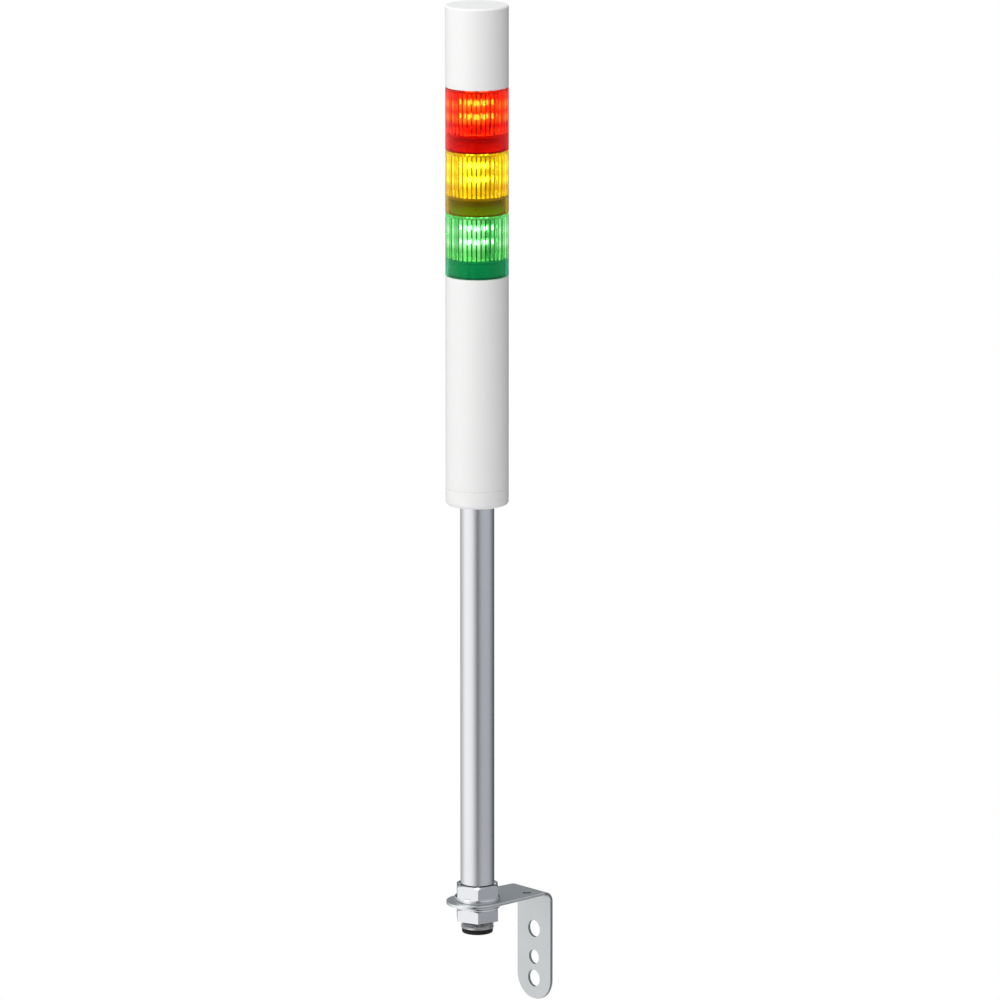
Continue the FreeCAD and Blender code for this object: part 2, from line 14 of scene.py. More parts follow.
import bmesh
import bpy
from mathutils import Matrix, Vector

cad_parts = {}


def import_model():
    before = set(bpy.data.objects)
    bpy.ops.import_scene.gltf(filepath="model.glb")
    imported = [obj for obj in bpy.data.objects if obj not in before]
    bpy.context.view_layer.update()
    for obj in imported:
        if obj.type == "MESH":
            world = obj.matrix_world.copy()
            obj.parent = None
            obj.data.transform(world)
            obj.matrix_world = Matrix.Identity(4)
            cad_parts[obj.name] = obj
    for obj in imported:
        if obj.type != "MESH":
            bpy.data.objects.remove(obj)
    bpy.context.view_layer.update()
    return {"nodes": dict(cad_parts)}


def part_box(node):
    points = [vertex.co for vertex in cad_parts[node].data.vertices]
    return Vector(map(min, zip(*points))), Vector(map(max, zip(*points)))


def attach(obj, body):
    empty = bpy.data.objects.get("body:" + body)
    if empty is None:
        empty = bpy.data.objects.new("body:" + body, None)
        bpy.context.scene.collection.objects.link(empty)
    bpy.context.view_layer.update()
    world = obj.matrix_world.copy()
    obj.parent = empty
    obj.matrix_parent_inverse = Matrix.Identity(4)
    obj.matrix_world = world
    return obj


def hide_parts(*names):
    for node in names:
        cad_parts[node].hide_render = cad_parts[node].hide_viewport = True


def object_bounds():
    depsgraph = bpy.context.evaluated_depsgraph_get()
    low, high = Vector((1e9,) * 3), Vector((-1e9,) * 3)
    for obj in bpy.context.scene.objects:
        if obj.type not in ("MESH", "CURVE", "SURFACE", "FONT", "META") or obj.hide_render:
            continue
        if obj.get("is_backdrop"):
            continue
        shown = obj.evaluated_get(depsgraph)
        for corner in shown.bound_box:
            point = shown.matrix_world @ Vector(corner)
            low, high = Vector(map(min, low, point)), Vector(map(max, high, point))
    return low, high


log = logging.getLogger("stack_light")

MERGE_DISTANCE = 1e-6
SMOOTH_ANGLE = math.radians(35.0)
FACET_ANGLE = math.radians(0.3)
EDGE_ANGLE = math.radians(30.0)
EDGE_STEPS = 2
FOLDED_EDGE_STEPS = 3
NEAR_SHARE = 0.2  # of the space between columns: an even column this near an edge is left out
NUDGE_SHARE = 0.01  # of the same: how far beside an edge its features are read
FLAT = 0.9  # a face's normal has at least this part along an axis that it faces
SIDE = 0.7  # and an edge's face has less than this part along the sheet's normal
THREAD_ROOT = 0.9  # share of the thread's depth at which its root is flat
THREAD_ROUNDING = 0.2
SAME_PLACE = 1e-12  # keeps two columns at one edge in order
TAU = 2 * math.pi

Colour = tuple[float, float, float]
Panels = tuple[tuple[float, float], ...]
BLACK: Colour = (0.0, 0.0, 0.0)
PLAIN: Colour = (1.0, 1.0, 1.0)
WHITE_LIGHT = (1.0, 1.0, 1.0, 1.0)
DRIFT_SCALE = 0.04  # scale of the roughness drift, as a share of the grain's
STRUCTURE_OUTPUTS = (("Roughness", "NodeSocketFloat"), ("Height", "NodeSocketFloat"))


class Signal(Enum):
    """The three lights, from the bottom of the tower to its top."""

    GREEN = "green"
    YELLOW = "yellow"
    RED = "red"


# --- Node trees --------------------------------------------------------------------------------


class NodeKit:
    """Adds nodes to one tree and joins their sockets."""

    def __init__(self, tree: bpy.types.NodeTree) -> None:
        """Takes a tree.

        Args:
            tree: Shader or geometry tree that the nodes go into.
        """
        self.tree = tree

    def feed(self, socket: bpy.types.NodeSocket, value: object) -> None:
        """Joins a socket to another, or gives it a constant.

        Args:
            socket: Input to fill.
            value: An output socket, or a number, colour or vector.
        """
        if isinstance(value, bpy.types.NodeSocket):
            self.tree.links.new(value, socket)
        else:
            socket.default_value = value

    def add(self, kind: str, inputs: dict[object, object] | None = None,
            **settings: object) -> bpy.types.Node:
        """Adds a node.

        Args:
            kind: The node's type name.
            inputs: Value or source for each input, by name or index.
            settings: The node's own properties.

        Returns:
            The new node.
        """
        node = self.tree.nodes.new(kind)
        for name, value in settings.items():
            setattr(node, name, value)
        for name, value in (inputs or {}).items():
            self.feed(node.inputs[name], value)
        return node

    def math(self, operation: str, *values: object) -> bpy.types.NodeSocket:
        """Adds a Math node and returns its result.

        Args:
            operation: The node's operation.
            values: Its inputs in order, as sockets or numbers.

        Returns:
            The node's output.
        """
        inputs = dict(enumerate(values))
        return self.add("ShaderNodeMath", inputs, operation=operation).outputs[0]

    def vector(self, operation: str, first: object, second: object) -> bpy.types.NodeSocket:
        """Adds a Vector Math node and returns its result.

        Args:
            operation: The node's operation. SCALE takes a number as its second input.
            first: First input.
            second: Second input.

        Returns:
            The node's output.
        """
        other = "Scale" if operation == "SCALE" else 1
        node = self.add("ShaderNodeVectorMath", {0: first, other: second}, operation=operation)
        return node.outputs["Value" if operation == "DOT_PRODUCT" else "Vector"]

    def fit(self, value: object, source: tuple[object, object], target: tuple[object, object] = (0.0, 1.0),
            **settings: object) -> bpy.types.NodeSocket:
        """Adds a Map Range node and returns its result.

        Args:
            value: What is mapped.
            source: Ends of the range that it comes from.
            target: Ends of the range that it goes to.
            settings: The node's own properties.

        Returns:
            The node's output.
        """
        inputs = {0: value, 1: source[0], 2: source[1], 3: target[0], 4: target[1]}
        return self.add("ShaderNodeMapRange", inputs, **settings).outputs[0]

    def blend(self, share: object, first: object, second: object) -> bpy.types.NodeSocket:
        """Adds a Mix node for colours and returns its result.

        Args:
            share: How much of the second colour there is.
            first: First colour.
            second: Second colour.

        Returns:
            The node's output.
        """
        return self.add("ShaderNodeMix", {0: share, 6: first, 7: second}, data_type="RGBA").outputs[2]

    def place(self, kind: str = "Object") -> bpy.types.NodeSocket:
        """Adds a Texture Coordinate node and returns the named output."""
        return self.add("ShaderNodeTexCoord").outputs[kind]

    def ramp(self, factor: object, stops: Sequence[tuple[float, Colour]]) -> bpy.types.NodeSocket:
        """Adds a Color Ramp and returns its colour.

        Args:
            factor: Source of the position along the ramp.
            stops: Position and colour of each stop, in order.

        Returns:
            The ramp's colour output.
        """
        node = self.add("ShaderNodeValToRGB", {0: factor})
        elements = node.color_ramp.elements
        while len(elements) < len(stops):
            elements.new(1.0)
        for element, (position, colour) in zip(elements, stops):
            element.position = position
            element.color = (*colour, 1.0)
        return node.outputs[0]


def new_group(name: str, kind: str, ins: Sequence[tuple[str, str, object]],
              outs: Sequence[tuple[str, str]]) -> tuple[NodeKit, bpy.types.Node, bpy.types.Node]:
    """Starts a node group with named sockets.

    Args:
        name: The group's name.
        kind: ShaderNodeTree or GeometryNodeTree.
        ins: Name, socket type and default of each input. A default of None is left alone.
        outs: Name and socket type of each output.
    """
    tree = bpy.data.node_groups.new(name, kind)
    for label, socket_type, default in ins:
        socket = tree.interface.new_socket(label, in_out="INPUT", socket_type=socket_type)
        if default is not None:
            socket.default_value = default
    for label, socket_type in outs:
        tree.interface.new_socket(label, in_out="OUTPUT", socket_type=socket_type)
    kit = NodeKit(tree)
    return kit, kit.add("NodeGroupInput"), kit.add("NodeGroupOutput")


def structure(kit: NodeKit, given: bpy.types.Node, result: bpy.types.Node, drift: object,
              height: object) -> bpy.types.NodeTree:
    """Ends a group whose roughness drifts and which puts out a height for a bump.

    Args:
        kit: Kit for the group.
        given: The group's input node, with Roughness and Spread.
        result: The group's output node.
        drift: Noise from 0 to 1 that moves the roughness.
        height: Noise that gives the height.

    Returns:
        The group.
    """
    change = kit.math("MULTIPLY", kit.math("SUBTRACT", drift, 0.5), given.outputs["Spread"])
    kit.feed(result.inputs["Roughness"], kit.math("ADD", given.outputs["Roughness"], change))
    kit.feed(result.inputs["Height"], height)
    return kit.tree


def grain_group() -> bpy.types.NodeTree:
    """Fine moulding grain: a roughness that drifts and a height for a bump.

    Returns:
        The shader group.
    """
    ins = [("Scale", "NodeSocketFloat", 1500.0), ("Roughness", "NodeSocketFloat", 0.4),
           ("Spread", "NodeSocketFloat", 0.08)]
    kit, given, result = new_group("moulding_grain", "ShaderNodeTree", ins, STRUCTURE_OUTPUTS)
    place = kit.place()
    fine = kit.add("ShaderNodeTexNoise", {"Vector": place, "Scale": given.outputs["Scale"], "Detail": 3.0})
    drift_scale = kit.math("MULTIPLY", given.outputs["Scale"], DRIFT_SCALE)
    drift = kit.add("ShaderNodeTexNoise", {"Vector": place, "Scale": drift_scale, "Detail": 4.0})
    return structure(kit, given, result, drift.outputs[0], fine.outputs[0])


def tint_group() -> bpy.types.NodeTree:
    """Slow drift of a colour's lightness over a surface.

    Returns:
        The shader group.
    """
    ins = [("Color", "NodeSocketColor", (0.8, 0.8, 0.8, 1.0)), ("Amount", "NodeSocketFloat", 0.05),
           ("Scale", "NodeSocketFloat", 60.0)]
    kit, given, result = new_group("tint_drift", "ShaderNodeTree", ins, [("Color", "NodeSocketColor")])
    scale = given.outputs["Scale"]
    cloud = kit.add("ShaderNodeTexNoise", {"Vector": kit.place(), "Scale": scale, "Detail": 5.0})
    change = kit.math("MULTIPLY", kit.math("SUBTRACT", cloud.outputs[0], 0.5), given.outputs["Amount"])
    level = kit.math("ADD", change, 1.0)
    kit.feed(result.inputs["Color"], kit.vector("SCALE", given.outputs["Color"], level))
    return kit.tree


def drawn_group() -> bpy.types.NodeTree:
    """Fine lines left along the pole axis by drawing or rolling.

    Returns:
        The shader group.
    """
    ins = [("Across", "NodeSocketFloat", 2500.0), ("Along", "NodeSocketFloat", 12.0),
           ("Roughness", "NodeSocketFloat", 0.3), ("Spread", "NodeSocketFloat", 0.1)]
    kit, given, result = new_group("drawn_lines", "ShaderNodeTree", ins, STRUCTURE_OUTPUTS)
    across, along = given.outputs["Across"], given.outputs["Along"]
    stretch = kit.add("ShaderNodeCombineXYZ", {0: across, 1: across, 2: along}).outputs[0]
    drawn = kit.vector("MULTIPLY", kit.place(), stretch)
    lines = kit.add("ShaderNodeTexNoise", {"Vector": drawn, "Scale": 1.0, "Detail": 2.0}).outputs[0]
    return structure(kit, given, result, lines, lines)


@dataclass
class Effects:
    """The shader groups that several finishes share."""

    grain: bpy.types.NodeTree = field(default_factory=grain_group)
    tint: bpy.types.NodeTree = field(default_factory=tint_group)
    drawn: bpy.types.NodeTree = field(default_factory=drawn_group)


# --- Finishes ----------------------------------------------------------------------------------


@dataclass(frozen=True)
class Finish:
    """A moulded or machined surface with fine grain.

    Attributes:
        name: The material's name.
        colour: Base colour, linear.
        roughness: Middle roughness.
        spread: How far the roughness drifts.
        grain_scale: Grains in a metre, roughly.
        grain_depth: Height of the grain, in metres.
        tint: How far the colour's lightness drifts.
        metallic: 1 for bare metal.
    """

    name: str
    colour: Colour
    roughness: float = 0.4
    spread: float = 0.08
    grain_scale: float = 1500.0
    grain_depth: float = 2e-6
    tint: float = 0.04
    metallic: float = 0.0

    def settings(self) -> dict[str, object]:
        """Constants of the shader beyond the shared ones."""
        return {}

    def surface(self, kit: NodeKit, effects: Effects) -> tuple[bpy.types.NodeSocket, bpy.types.NodeSocket]:
        """Roughness and height of the fine structure.

        Args:
            kit: Kit for the material's tree.
            effects: The shared groups.

        Returns:
            The roughness and the height.
        """
        inputs = {"Scale": self.grain_scale, "Roughness": self.roughness, "Spread": self.spread}
        node = kit.add("ShaderNodeGroup", inputs, node_tree=effects.grain)
        return node.outputs["Roughness"], node.outputs["Height"]

    def build(self, effects: Effects) -> bpy.types.Material:
        """Makes the material.

        Args:
            effects: The shared groups.

        Returns:
            The material.
        """
        material = bpy.data.materials.new(self.name)
        material.use_nodes = True
        kit = NodeKit(material.node_tree)
        shader = material.node_tree.nodes["Principled BSDF"]
        colour = {"Color": (*self.colour, 1.0), "Amount": self.tint}
        tint = kit.add("ShaderNodeGroup", colour, node_tree=effects.tint)
        kit.feed(shader.inputs["Base Color"], tint.outputs["Color"])
        roughness, height = self.surface(kit, effects)
        kit.feed(shader.inputs["Roughness"], roughness)
        bump = kit.add("ShaderNodeBump", {"Height": height, "Distance": self.grain_depth})
        kit.feed(shader.inputs["Normal"], bump.outputs[0])
        shader.inputs["Metallic"].default_value = self.metallic
        for label, value in self.settings().items():
            shader.inputs[label].default_value = value
        return material


@dataclass(frozen=True)
class DrawnMetal(Finish):
    """Metal with fine lines along the pole."""

    metallic: float = 1.0
    across: float = 2500.0
    along: float = 12.0

    def surface(self, kit: NodeKit, effects: Effects) -> tuple[bpy.types.NodeSocket, bpy.types.NodeSocket]:
        """Roughness and height of the drawn lines.

        Args:
            kit: Kit for the material's tree.
            effects: The shared groups.

        Returns:
            The roughness and the height.
        """
        inputs = {"Across": self.across, "Along": self.along, "Roughness": self.roughness,
                  "Spread": self.spread}
        node = kit.add("ShaderNodeGroup", inputs, node_tree=effects.drawn)
        return node.outputs["Roughness"], node.outputs["Height"]


@dataclass(frozen=True)
class Rubber(Finish):
    """Matt rubber with hardly any sheen."""

    sheen: float = 0.2

    def settings(self) -> dict[str, object]:
        """Weak reflection."""
        return {"Specular IOR Level": self.sheen}


@dataclass(frozen=True)
class LensPlastic(Finish):
    """Clear coloured plastic, with painted shade in its grooves and painted light that stands in for the lamps'
    light scattered in it.

    Attributes:
        clarity: Share of the light that passes through.
        refraction: Index of refraction.
        gloss: Level of the reflection.
        white_gloss: Share of the reflection that keeps no colour.
        ribs: Number of ribs inside, all round.
        groove: Painted shade in the grooves between the ribs: how dark they are, 1 for no difference.
        band_tint: What the colour is multiplied by in the smooth band.
        painted_band_glow: Painted light in the smooth band.
        painted_low_glow: Painted light between the band and the lamps.
        painted_warm_glow: Painted light round the lamps.
        painted_row_glow: Painted light level with a row of lamps.
        painted_collar_glow: Painted light in the collar above the shoulder.
        lit_foot: Height at which the ribs start.
        lit_top: Height of the lens's shoulder.
        rows: Heights of the two rows of lamps.
        shoulder: Height of the plain wall above the ribs.
        collar_reach: How far up the collar its painted light fades.
        seam: Share of the lit height over which the band ends.
        cap: Share of the lit height at which the painted light round the lamps ends.
        row_reach: How far a row's painted light spreads, as a share of the distance between rows.
        crest: Part of a rib's swell over which it goes from groove to crest.
        painted_streaks: Weakest and strongest rib, in painted light.
    """

    clarity: float = 0.9
    refraction: float = 1.49
    gloss: float = 0.4
    white_gloss: float = 0.08
    ribs: int = 42
    groove: float = 0.3
    band_tint: Colour = PLAIN
    painted_band_glow: Colour = BLACK
    painted_low_glow: Colour = (0.1, 0.1, 0.1)
    painted_warm_glow: Colour = (0.2, 0.2, 0.2)
    painted_row_glow: Colour = (0.5, 0.5, 0.5)
    painted_collar_glow: Colour = BLACK
    lit_foot: float = 0.0
    lit_top: float = 1.0
    rows: tuple[float, float] = (0.3, 0.6)
    shoulder: float = 2.0e-3
    collar_reach: float = 6.0e-3
    seam: float = 0.01
    cap: float = 0.93
    row_reach: float = 0.4
    crest: tuple[float, float] = (0.15, 0.7)
    painted_streaks: tuple[float, float] = (0.15, 1.4)

    def settings(self) -> dict[str, object]:
        """Transmission, refraction and the strength of the painted light.

        Returns:
            Value of each of the shader's sockets.
        """
        sheen = tuple(self.white_gloss + (1.0 - self.white_gloss) * part for part in self.colour)
        return {"Transmission Weight": self.clarity, "IOR": self.refraction, "Specular IOR Level": self.gloss,
                "Specular Tint": (*sheen, 1.0), "Emission Strength": 1.0}

    def painted_glow_stops(self) -> list[tuple[float, Colour]]:
        """Painted light from the ribs' foot to the shoulder.

        Returns:
            Stops of a ramp over the lit height.
        """
        span = self.lit_top - self.lit_foot
        low, high = ((row - self.lit_foot) / span for row in self.rows)
        reach = (high - low) * self.row_reach
        return [(0.0, self.painted_band_glow), (2 * self.seam, self.painted_low_glow), (low - reach, self.painted_low_glow),
                (low, self.painted_row_glow), ((low + high) / 2, self.painted_warm_glow), (high, self.painted_row_glow),
                (high + reach, self.painted_warm_glow), (self.cap, self.painted_warm_glow), (1.0, self.painted_collar_glow)]

    def build(self, effects: Effects) -> bpy.types.Material:
        """Adds the painted shade in the grooves and the painted light to the clear plastic.

        Args:
            effects: The shared groups.

        Returns:
            The material.
        """
        material = super().build(effects)
        kit = NodeKit(material.node_tree)
        shader = material.node_tree.nodes["Principled BSDF"]
        parts = kit.add("ShaderNodeSeparateXYZ", {0: kit.place()})
        turn = kit.math("DIVIDE", kit.math("ARCTAN2", parts.outputs[1], parts.outputs[0]), TAU)
        count = kit.math("MULTIPLY", turn, float(self.ribs))
        swell = kit.math("SINE", kit.math("MULTIPLY", kit.math("FRACT", count), math.pi))
        chance = kit.add("ShaderNodeTexWhiteNoise", {"W": kit.math("FLOOR", count)}, noise_dimensions="1D")
        level = kit.fit(parts.outputs[2], (self.lit_foot, self.lit_top))
        rib_top = 1.0 - self.shoulder / (self.lit_top - self.lit_foot)
        ribbed = kit.ramp(level, [(0.0, BLACK), (self.seam, PLAIN), (rib_top, PLAIN), (1.0, BLACK)])
        # Painted shade: the base colour darkens from each rib's crest towards the grooves.
        crest = kit.fit(swell, self.crest, interpolation_type="SMOOTHSTEP")
        floor = kit.math("SUBTRACT", 1.0, kit.math("MULTIPLY", ribbed, 1.0 - self.groove))
        depth = kit.math("MAXIMUM", kit.math("MULTIPLY", crest, ribbed), floor)
        tint = shader.inputs["Base Color"].links[0].from_socket
        shade = kit.ramp(level, [(0.0, self.band_tint), (self.seam, PLAIN)])
        kit.feed(shader.inputs["Base Color"], kit.vector("SCALE", kit.vector("MULTIPLY", tint, shade), depth))
        # Painted light: each rib gets emission of a random strength, highest at its crest; the band and the
        # collar get theirs by height.
        strength = kit.fit(chance.outputs["Value"], (0.0, 1.0), self.painted_streaks)
        painted_streak = kit.math("MULTIPLY", kit.math("MULTIPLY", crest, strength), ribbed)
        fade = kit.fit(parts.outputs[2], (self.lit_top, self.lit_top + self.collar_reach), (1.0, 0.0))
        lit = kit.math("MAXIMUM", painted_streak, kit.math("MULTIPLY", kit.math("SUBTRACT", 1.0, ribbed), fade))
        glow = kit.ramp(level, self.painted_glow_stops())
        kit.feed(shader.inputs["Emission Color"], kit.vector("SCALE", glow, lit))
        return material


@dataclass(frozen=True)
class Lamp(Finish):
    """Window of a light-emitting diode."""

    light: Colour = PLAIN
    strength: float = 6.0

    def settings(self) -> dict[str, object]:
        """Colour and strength of its light."""
        return {"Emission Color": (*self.light, 1.0), "Emission Strength": self.strength}


@dataclass(frozen=True)
class GlowPaintedBoard(Finish):
    """Board with the lamps' light painted on it as emission, strongest level with them.

    Attributes:
        light: Colour of the painted light, with its strength.
        rows: Heights of the two rows of lamps.
        reach: How far above and below a row its painted light falls off.
    """

    light: Colour = PLAIN
    rows: tuple[float, float] = (0.0, 1.0)
    reach: float = 3.2e-3

    def settings(self) -> dict[str, object]:
        """Strength of the painted light."""
        return {"Emission Strength": 1.0}

    def build(self, effects: Effects) -> bpy.types.Material:
        """Paints the lamps' light on the board as emission.

        Args:
            effects: The shared groups.

        Returns:
            The material.
        """
        material = super().build(effects)
        kit = NodeKit(material.node_tree)
        height = kit.add("ShaderNodeSeparateXYZ", {0: kit.place()}).outputs[2]
        shares = []
        for row in self.rows:
            away = kit.math("ABSOLUTE", kit.math("SUBTRACT", height, row))
            shares.append(kit.fit(away, (0.0, self.reach), (1.0, 0.0), interpolation_type="SMOOTHERSTEP"))
        light = kit.vector("SCALE", self.light, kit.math("MAXIMUM", *shares))
        kit.feed(material.node_tree.nodes["Principled BSDF"].inputs["Emission Color"], light)
        return material


# --- Meshes ------------------------------------------------------------------------------------


@dataclass(frozen=True)
class Column:
    """One upright line of a turned shell, and the features that it crosses."""

    angle: float
    features: frozenset[str] = frozenset()


@dataclass(frozen=True)
class Row:
    """One point of a turned shell's section.

    Attributes:
        radius: Radius where no feature is crossed.
        height: Height above the origin.
        reach: Radius inside each named feature.
        mark: Value written to the shell's attribute.
    """

    radius: float
    height: float
    reach: dict[str, float] = field(default_factory=dict)
    mark: float = 0.0

    def radius_at(self, column: Column) -> float:
        """Radius on one column.

        Args:
            column: The column.

        Returns:
            The radius.
        """
        for feature, radius in self.reach.items():
            if feature in column.features:
                return radius
        return self.radius


def spaced_columns(count: int, arcs: dict[str, Sequence[tuple[float, float]]] | None = None) -> list[Column]:
    """Columns all round, doubled where a feature starts or ends.

    Args:
        count: Number of evenly spaced columns.
        arcs: First and last angle of each arc of each feature, in radians.

    Returns:
        The columns in order of angle.
    """
    arcs = arcs or {}
    ends = sorted({edge % TAU for spans in arcs.values() for span in spans for edge in span})
    even = [TAU * k / count for k in range(count)]
    near = TAU / count * NEAR_SHARE
    kept = [a for a in even if all(abs(a - e) > near for e in ends)]

    def inside(angle: float) -> frozenset[str]:
        """Names of the features that cross an angle.

        Args:
            angle: The angle in radians.

        Returns:
            The names.
        """
        found = set()
        for feature, spans in arcs.items():
            if any((angle - first) % TAU < (last - first) for first, last in spans):
                found.add(feature)
        return frozenset(found)

    columns = [Column(a, inside(a)) for a in kept]
    nudge = near * NUDGE_SHARE
    for edge in ends:
        columns.append(Column(edge, inside(edge - nudge)))
        columns.append(Column(edge + SAME_PLACE, inside(edge + nudge)))
    return sorted(columns, key=lambda c: c.angle)


def link_piece(name: str, mesh: bpy.types.Mesh) -> bpy.types.Object:
    """Puts a mesh into the scene as an object at the origin.

    Args:
        name: Name of the new object.
        mesh: Its mesh.

    Returns:
        The object.
    """
    piece = bpy.data.objects.new(name, mesh)
    bpy.context.scene.collection.objects.link(piece)
    return piece


def turned_shell(name: str, rows: Sequence[Row], columns: Sequence[Column], mark: str) -> bpy.types.Object:
    """Closed shell turned about the pole axis.

    Args:
        name: Name of the new object.
        rows: The section, anticlockwise with the axis on the left, closed on itself.
        columns: The upright lines.
        mark: Name of the vertex attribute that holds each row's mark.

    Returns:
        The object, with coincident points not yet merged.
    """
    bm = bmesh.new()
    layer = bm.verts.layers.float.new(mark)
    grid = []
    for row in rows:
        ring = []
        for column in columns:
            radius = row.radius_at(column)
            x, y = radius * math.cos(column.angle), radius * math.sin(column.angle)
            vert = bm.verts.new((x, y, row.height))
            vert[layer] = row.mark
            ring.append(vert)
        grid.append(ring)
    for i, ring in enumerate(grid):
        above = grid[(i + 1) % len(grid)]
        for j in range(len(ring)):
            k = (j + 1) % len(ring)
            bm.faces.new((ring[j], ring[k], above[k], above[j]))
    mesh = bpy.data.meshes.new(name)
    bm.to_mesh(mesh)
    bm.free()
    return link_piece(name, mesh)


def loft(name: str, loops: Sequence[Sequence[Vector]]) -> bpy.types.Mesh:
    """Mesh through closed loops of equal length, capped at both ends.

    Args:
        name: Name of the mesh.
        loops: Loops from the first cap to the last.

    Returns:
        The mesh, with its faces outwards.
    """
    bm = bmesh.new()
    rings = [[bm.verts.new(point) for point in loop] for loop in loops]
    for low, high in zip(rings, rings[1:]):
        for j in range(len(low)):
            k = (j + 1) % len(low)
            bm.faces.new((low[j], low[k], high[k], high[j]))
    bm.faces.new(list(reversed(rings[0])))
    bm.faces.new(rings[-1])
    bmesh.ops.recalc_face_normals(bm, faces=bm.faces)
    mesh = bpy.data.meshes.new(name)
    bm.to_mesh(mesh)
    bm.free()
    return mesh


def smooth(mesh: bpy.types.Mesh) -> None:
    """Shades a mesh smooth, with its steep edges sharp."""
    mesh.shade_smooth()
    mesh.set_sharp_from_angle(angle=SMOOTH_ANGLE)


def evaluated(piece: bpy.types.Object) -> None:
    """Turns a piece's modifiers into its mesh.

    Args:
        piece: The object to change.
    """
    graph = bpy.context.evaluated_depsgraph_get()
    graph.update()
    mesh = bpy.data.meshes.new_from_object(piece.evaluated_get(graph), depsgraph=graph)
    mesh.name = piece.name
    piece.modifiers.clear()
    piece.data = mesh


def run_tree(piece: bpy.types.Object, tree: bpy.types.NodeTree, values: dict[str, object]) -> None:
    """Runs a geometry tree on a piece and keeps its result.

    Args:
        piece: The object that the tree changes.
        tree: The geometry group.
        values: Value of each named input.
    """
    modifier = piece.modifiers.new(tree.name, "NODES")
    modifier.node_group = tree
    for item in tree.interface.items_tree:
        if item.item_type == "SOCKET" and item.in_out == "INPUT" and item.name in values:
            modifier[item.identifier] = values[item.name]
    evaluated(piece)


def softened_copy(name: str, source: bpy.types.Mesh, width: float, segments: int) -> bpy.types.Object:
    """Copy of a mesh with its facets joined and its edges rounded.

    Args:
        name: Name of the new object.
        source: The mesh to copy.
        width: Width of the rounding, in metres.
        segments: Steps in the rounding.

    Returns:
        The new object.
    """
    bm = bmesh.new()
    bm.from_mesh(source)
    bmesh.ops.remove_doubles(bm, verts=bm.verts, dist=MERGE_DISTANCE)
    bmesh.ops.dissolve_limit(bm, angle_limit=FACET_ANGLE, verts=bm.verts, edges=bm.edges)
    for face in bm.faces:
        face.material_index = 0
    mesh = bpy.data.meshes.new(name)
    bm.to_mesh(mesh)
    bm.free()
    mesh.materials.clear()
    mesh.shade_smooth()
    piece = link_piece(name, mesh)
    bevel = piece.modifiers.new("edge_break", "BEVEL")
    bevel.width = width
    bevel.segments = segments
    bevel.limit_method = "ANGLE"
    bevel.angle_limit = EDGE_ANGLE
    weighted = piece.modifiers.new("flat_faces", "WEIGHTED_NORMAL")
    weighted.weight = 100
    evaluated(piece)
    return piece


# --- Geometry trees ----------------------------------------------------------------------------


def shape_group(name: str, sizes: Sequence[tuple[str, str, object]],
                ) -> tuple[NodeKit, bpy.types.Node, bpy.types.Node]:
    """Starts a geometry group that takes a shape, its sizes and a material.

    Args:
        name: The group's name.
        sizes: Name, socket type and default of each size.
    """
    ins = [("Geometry", "NodeSocketGeometry", None), *sizes, ("Material", "NodeSocketMaterial", None)]
    return new_group(name, "GeometryNodeTree", ins, [("Geometry", "NodeSocketGeometry")])


def polar(kit: NodeKit) -> tuple[bpy.types.NodeSocket, bpy.types.NodeSocket, bpy.types.NodeSocket]:
    """Direction out from the axis, turns round it and height, of each point.

    Args:
        kit: Kit for a geometry tree.

    Returns:
        Unit vector out from the axis, angle in turns, and height.
    """
    place = kit.add("GeometryNodeInputPosition").outputs[0]
    parts = kit.add("ShaderNodeSeparateXYZ", {0: place})
    flat = kit.add("ShaderNodeCombineXYZ", {0: parts.outputs[0], 1: parts.outputs[1]}).outputs[0]
    out = kit.add("ShaderNodeVectorMath", {0: flat}, operation="NORMALIZE").outputs[0]
    angle = kit.math("ARCTAN2", parts.outputs[1], parts.outputs[0])
    return out, kit.math("DIVIDE", angle, TAU), parts.outputs[2]


def finish_tree(kit: NodeKit, given: bpy.types.Node, result: bpy.types.Node,
                shape: object) -> bpy.types.NodeTree:
    """Ends a tree: merged, realized, and in the given material.

    Args:
        kit: Kit for the tree.
        given: The tree's input node.
        result: The tree's output node.
        shape: Output socket with the finished shape.

    Returns:
        The tree.
    """
    real = kit.add("GeometryNodeRealizeInstances", {0: shape}).outputs[0]
    merged = kit.add("GeometryNodeMergeByDistance", {"Geometry": real, "Distance": MERGE_DISTANCE}).outputs[0]
    dressed = kit.add("GeometryNodeSetMaterial", {"Geometry": merged, "Material": given.outputs["Material"]})
    kit.feed(result.inputs[0], dressed.outputs[0])
    return kit.tree


def displaced(kit: NodeKit, given: bpy.types.Node, out: object, depth: object) -> bpy.types.NodeSocket:
    """Moves marked points towards the axis by a depth that varies.

    Args:
        kit: Kit for the tree.
        given: The tree's input node.
        out: Direction out from the axis.
        depth: Depth at each point.

    Returns:
        The moved shape.
    """
    mark = kit.add("GeometryNodeInputNamedAttribute", {"Name": "cut"}, data_type="FLOAT").outputs["Attribute"]
    inwards = kit.math("MULTIPLY", kit.math("MULTIPLY", depth, mark), -1.0)
    offset = kit.vector("SCALE", out, inwards)
    return kit.add("GeometryNodeSetPosition", {"Geometry": given.outputs[0], "Offset": offset}).outputs[0]


def rib_tree() -> bpy.types.NodeTree:
    """Upright ribs that bulge inwards from the marked rows of a shell.

    Returns:
        The geometry group.
    """
    sizes = [("Rib Count", "NodeSocketInt", 42), ("Rib Depth", "NodeSocketFloat", 0.0004)]
    kit, given, result = shape_group("inner_ribs", sizes)
    out, turns, _ = polar(kit)
    phase = kit.math("FRACT", kit.math("MULTIPLY", turns, given.outputs["Rib Count"]))
    swell = kit.math("SINE", kit.math("MULTIPLY", phase, math.pi))
    depth = kit.math("MULTIPLY", swell, given.outputs["Rib Depth"])
    return finish_tree(kit, given, result, displaced(kit, given, out, depth))


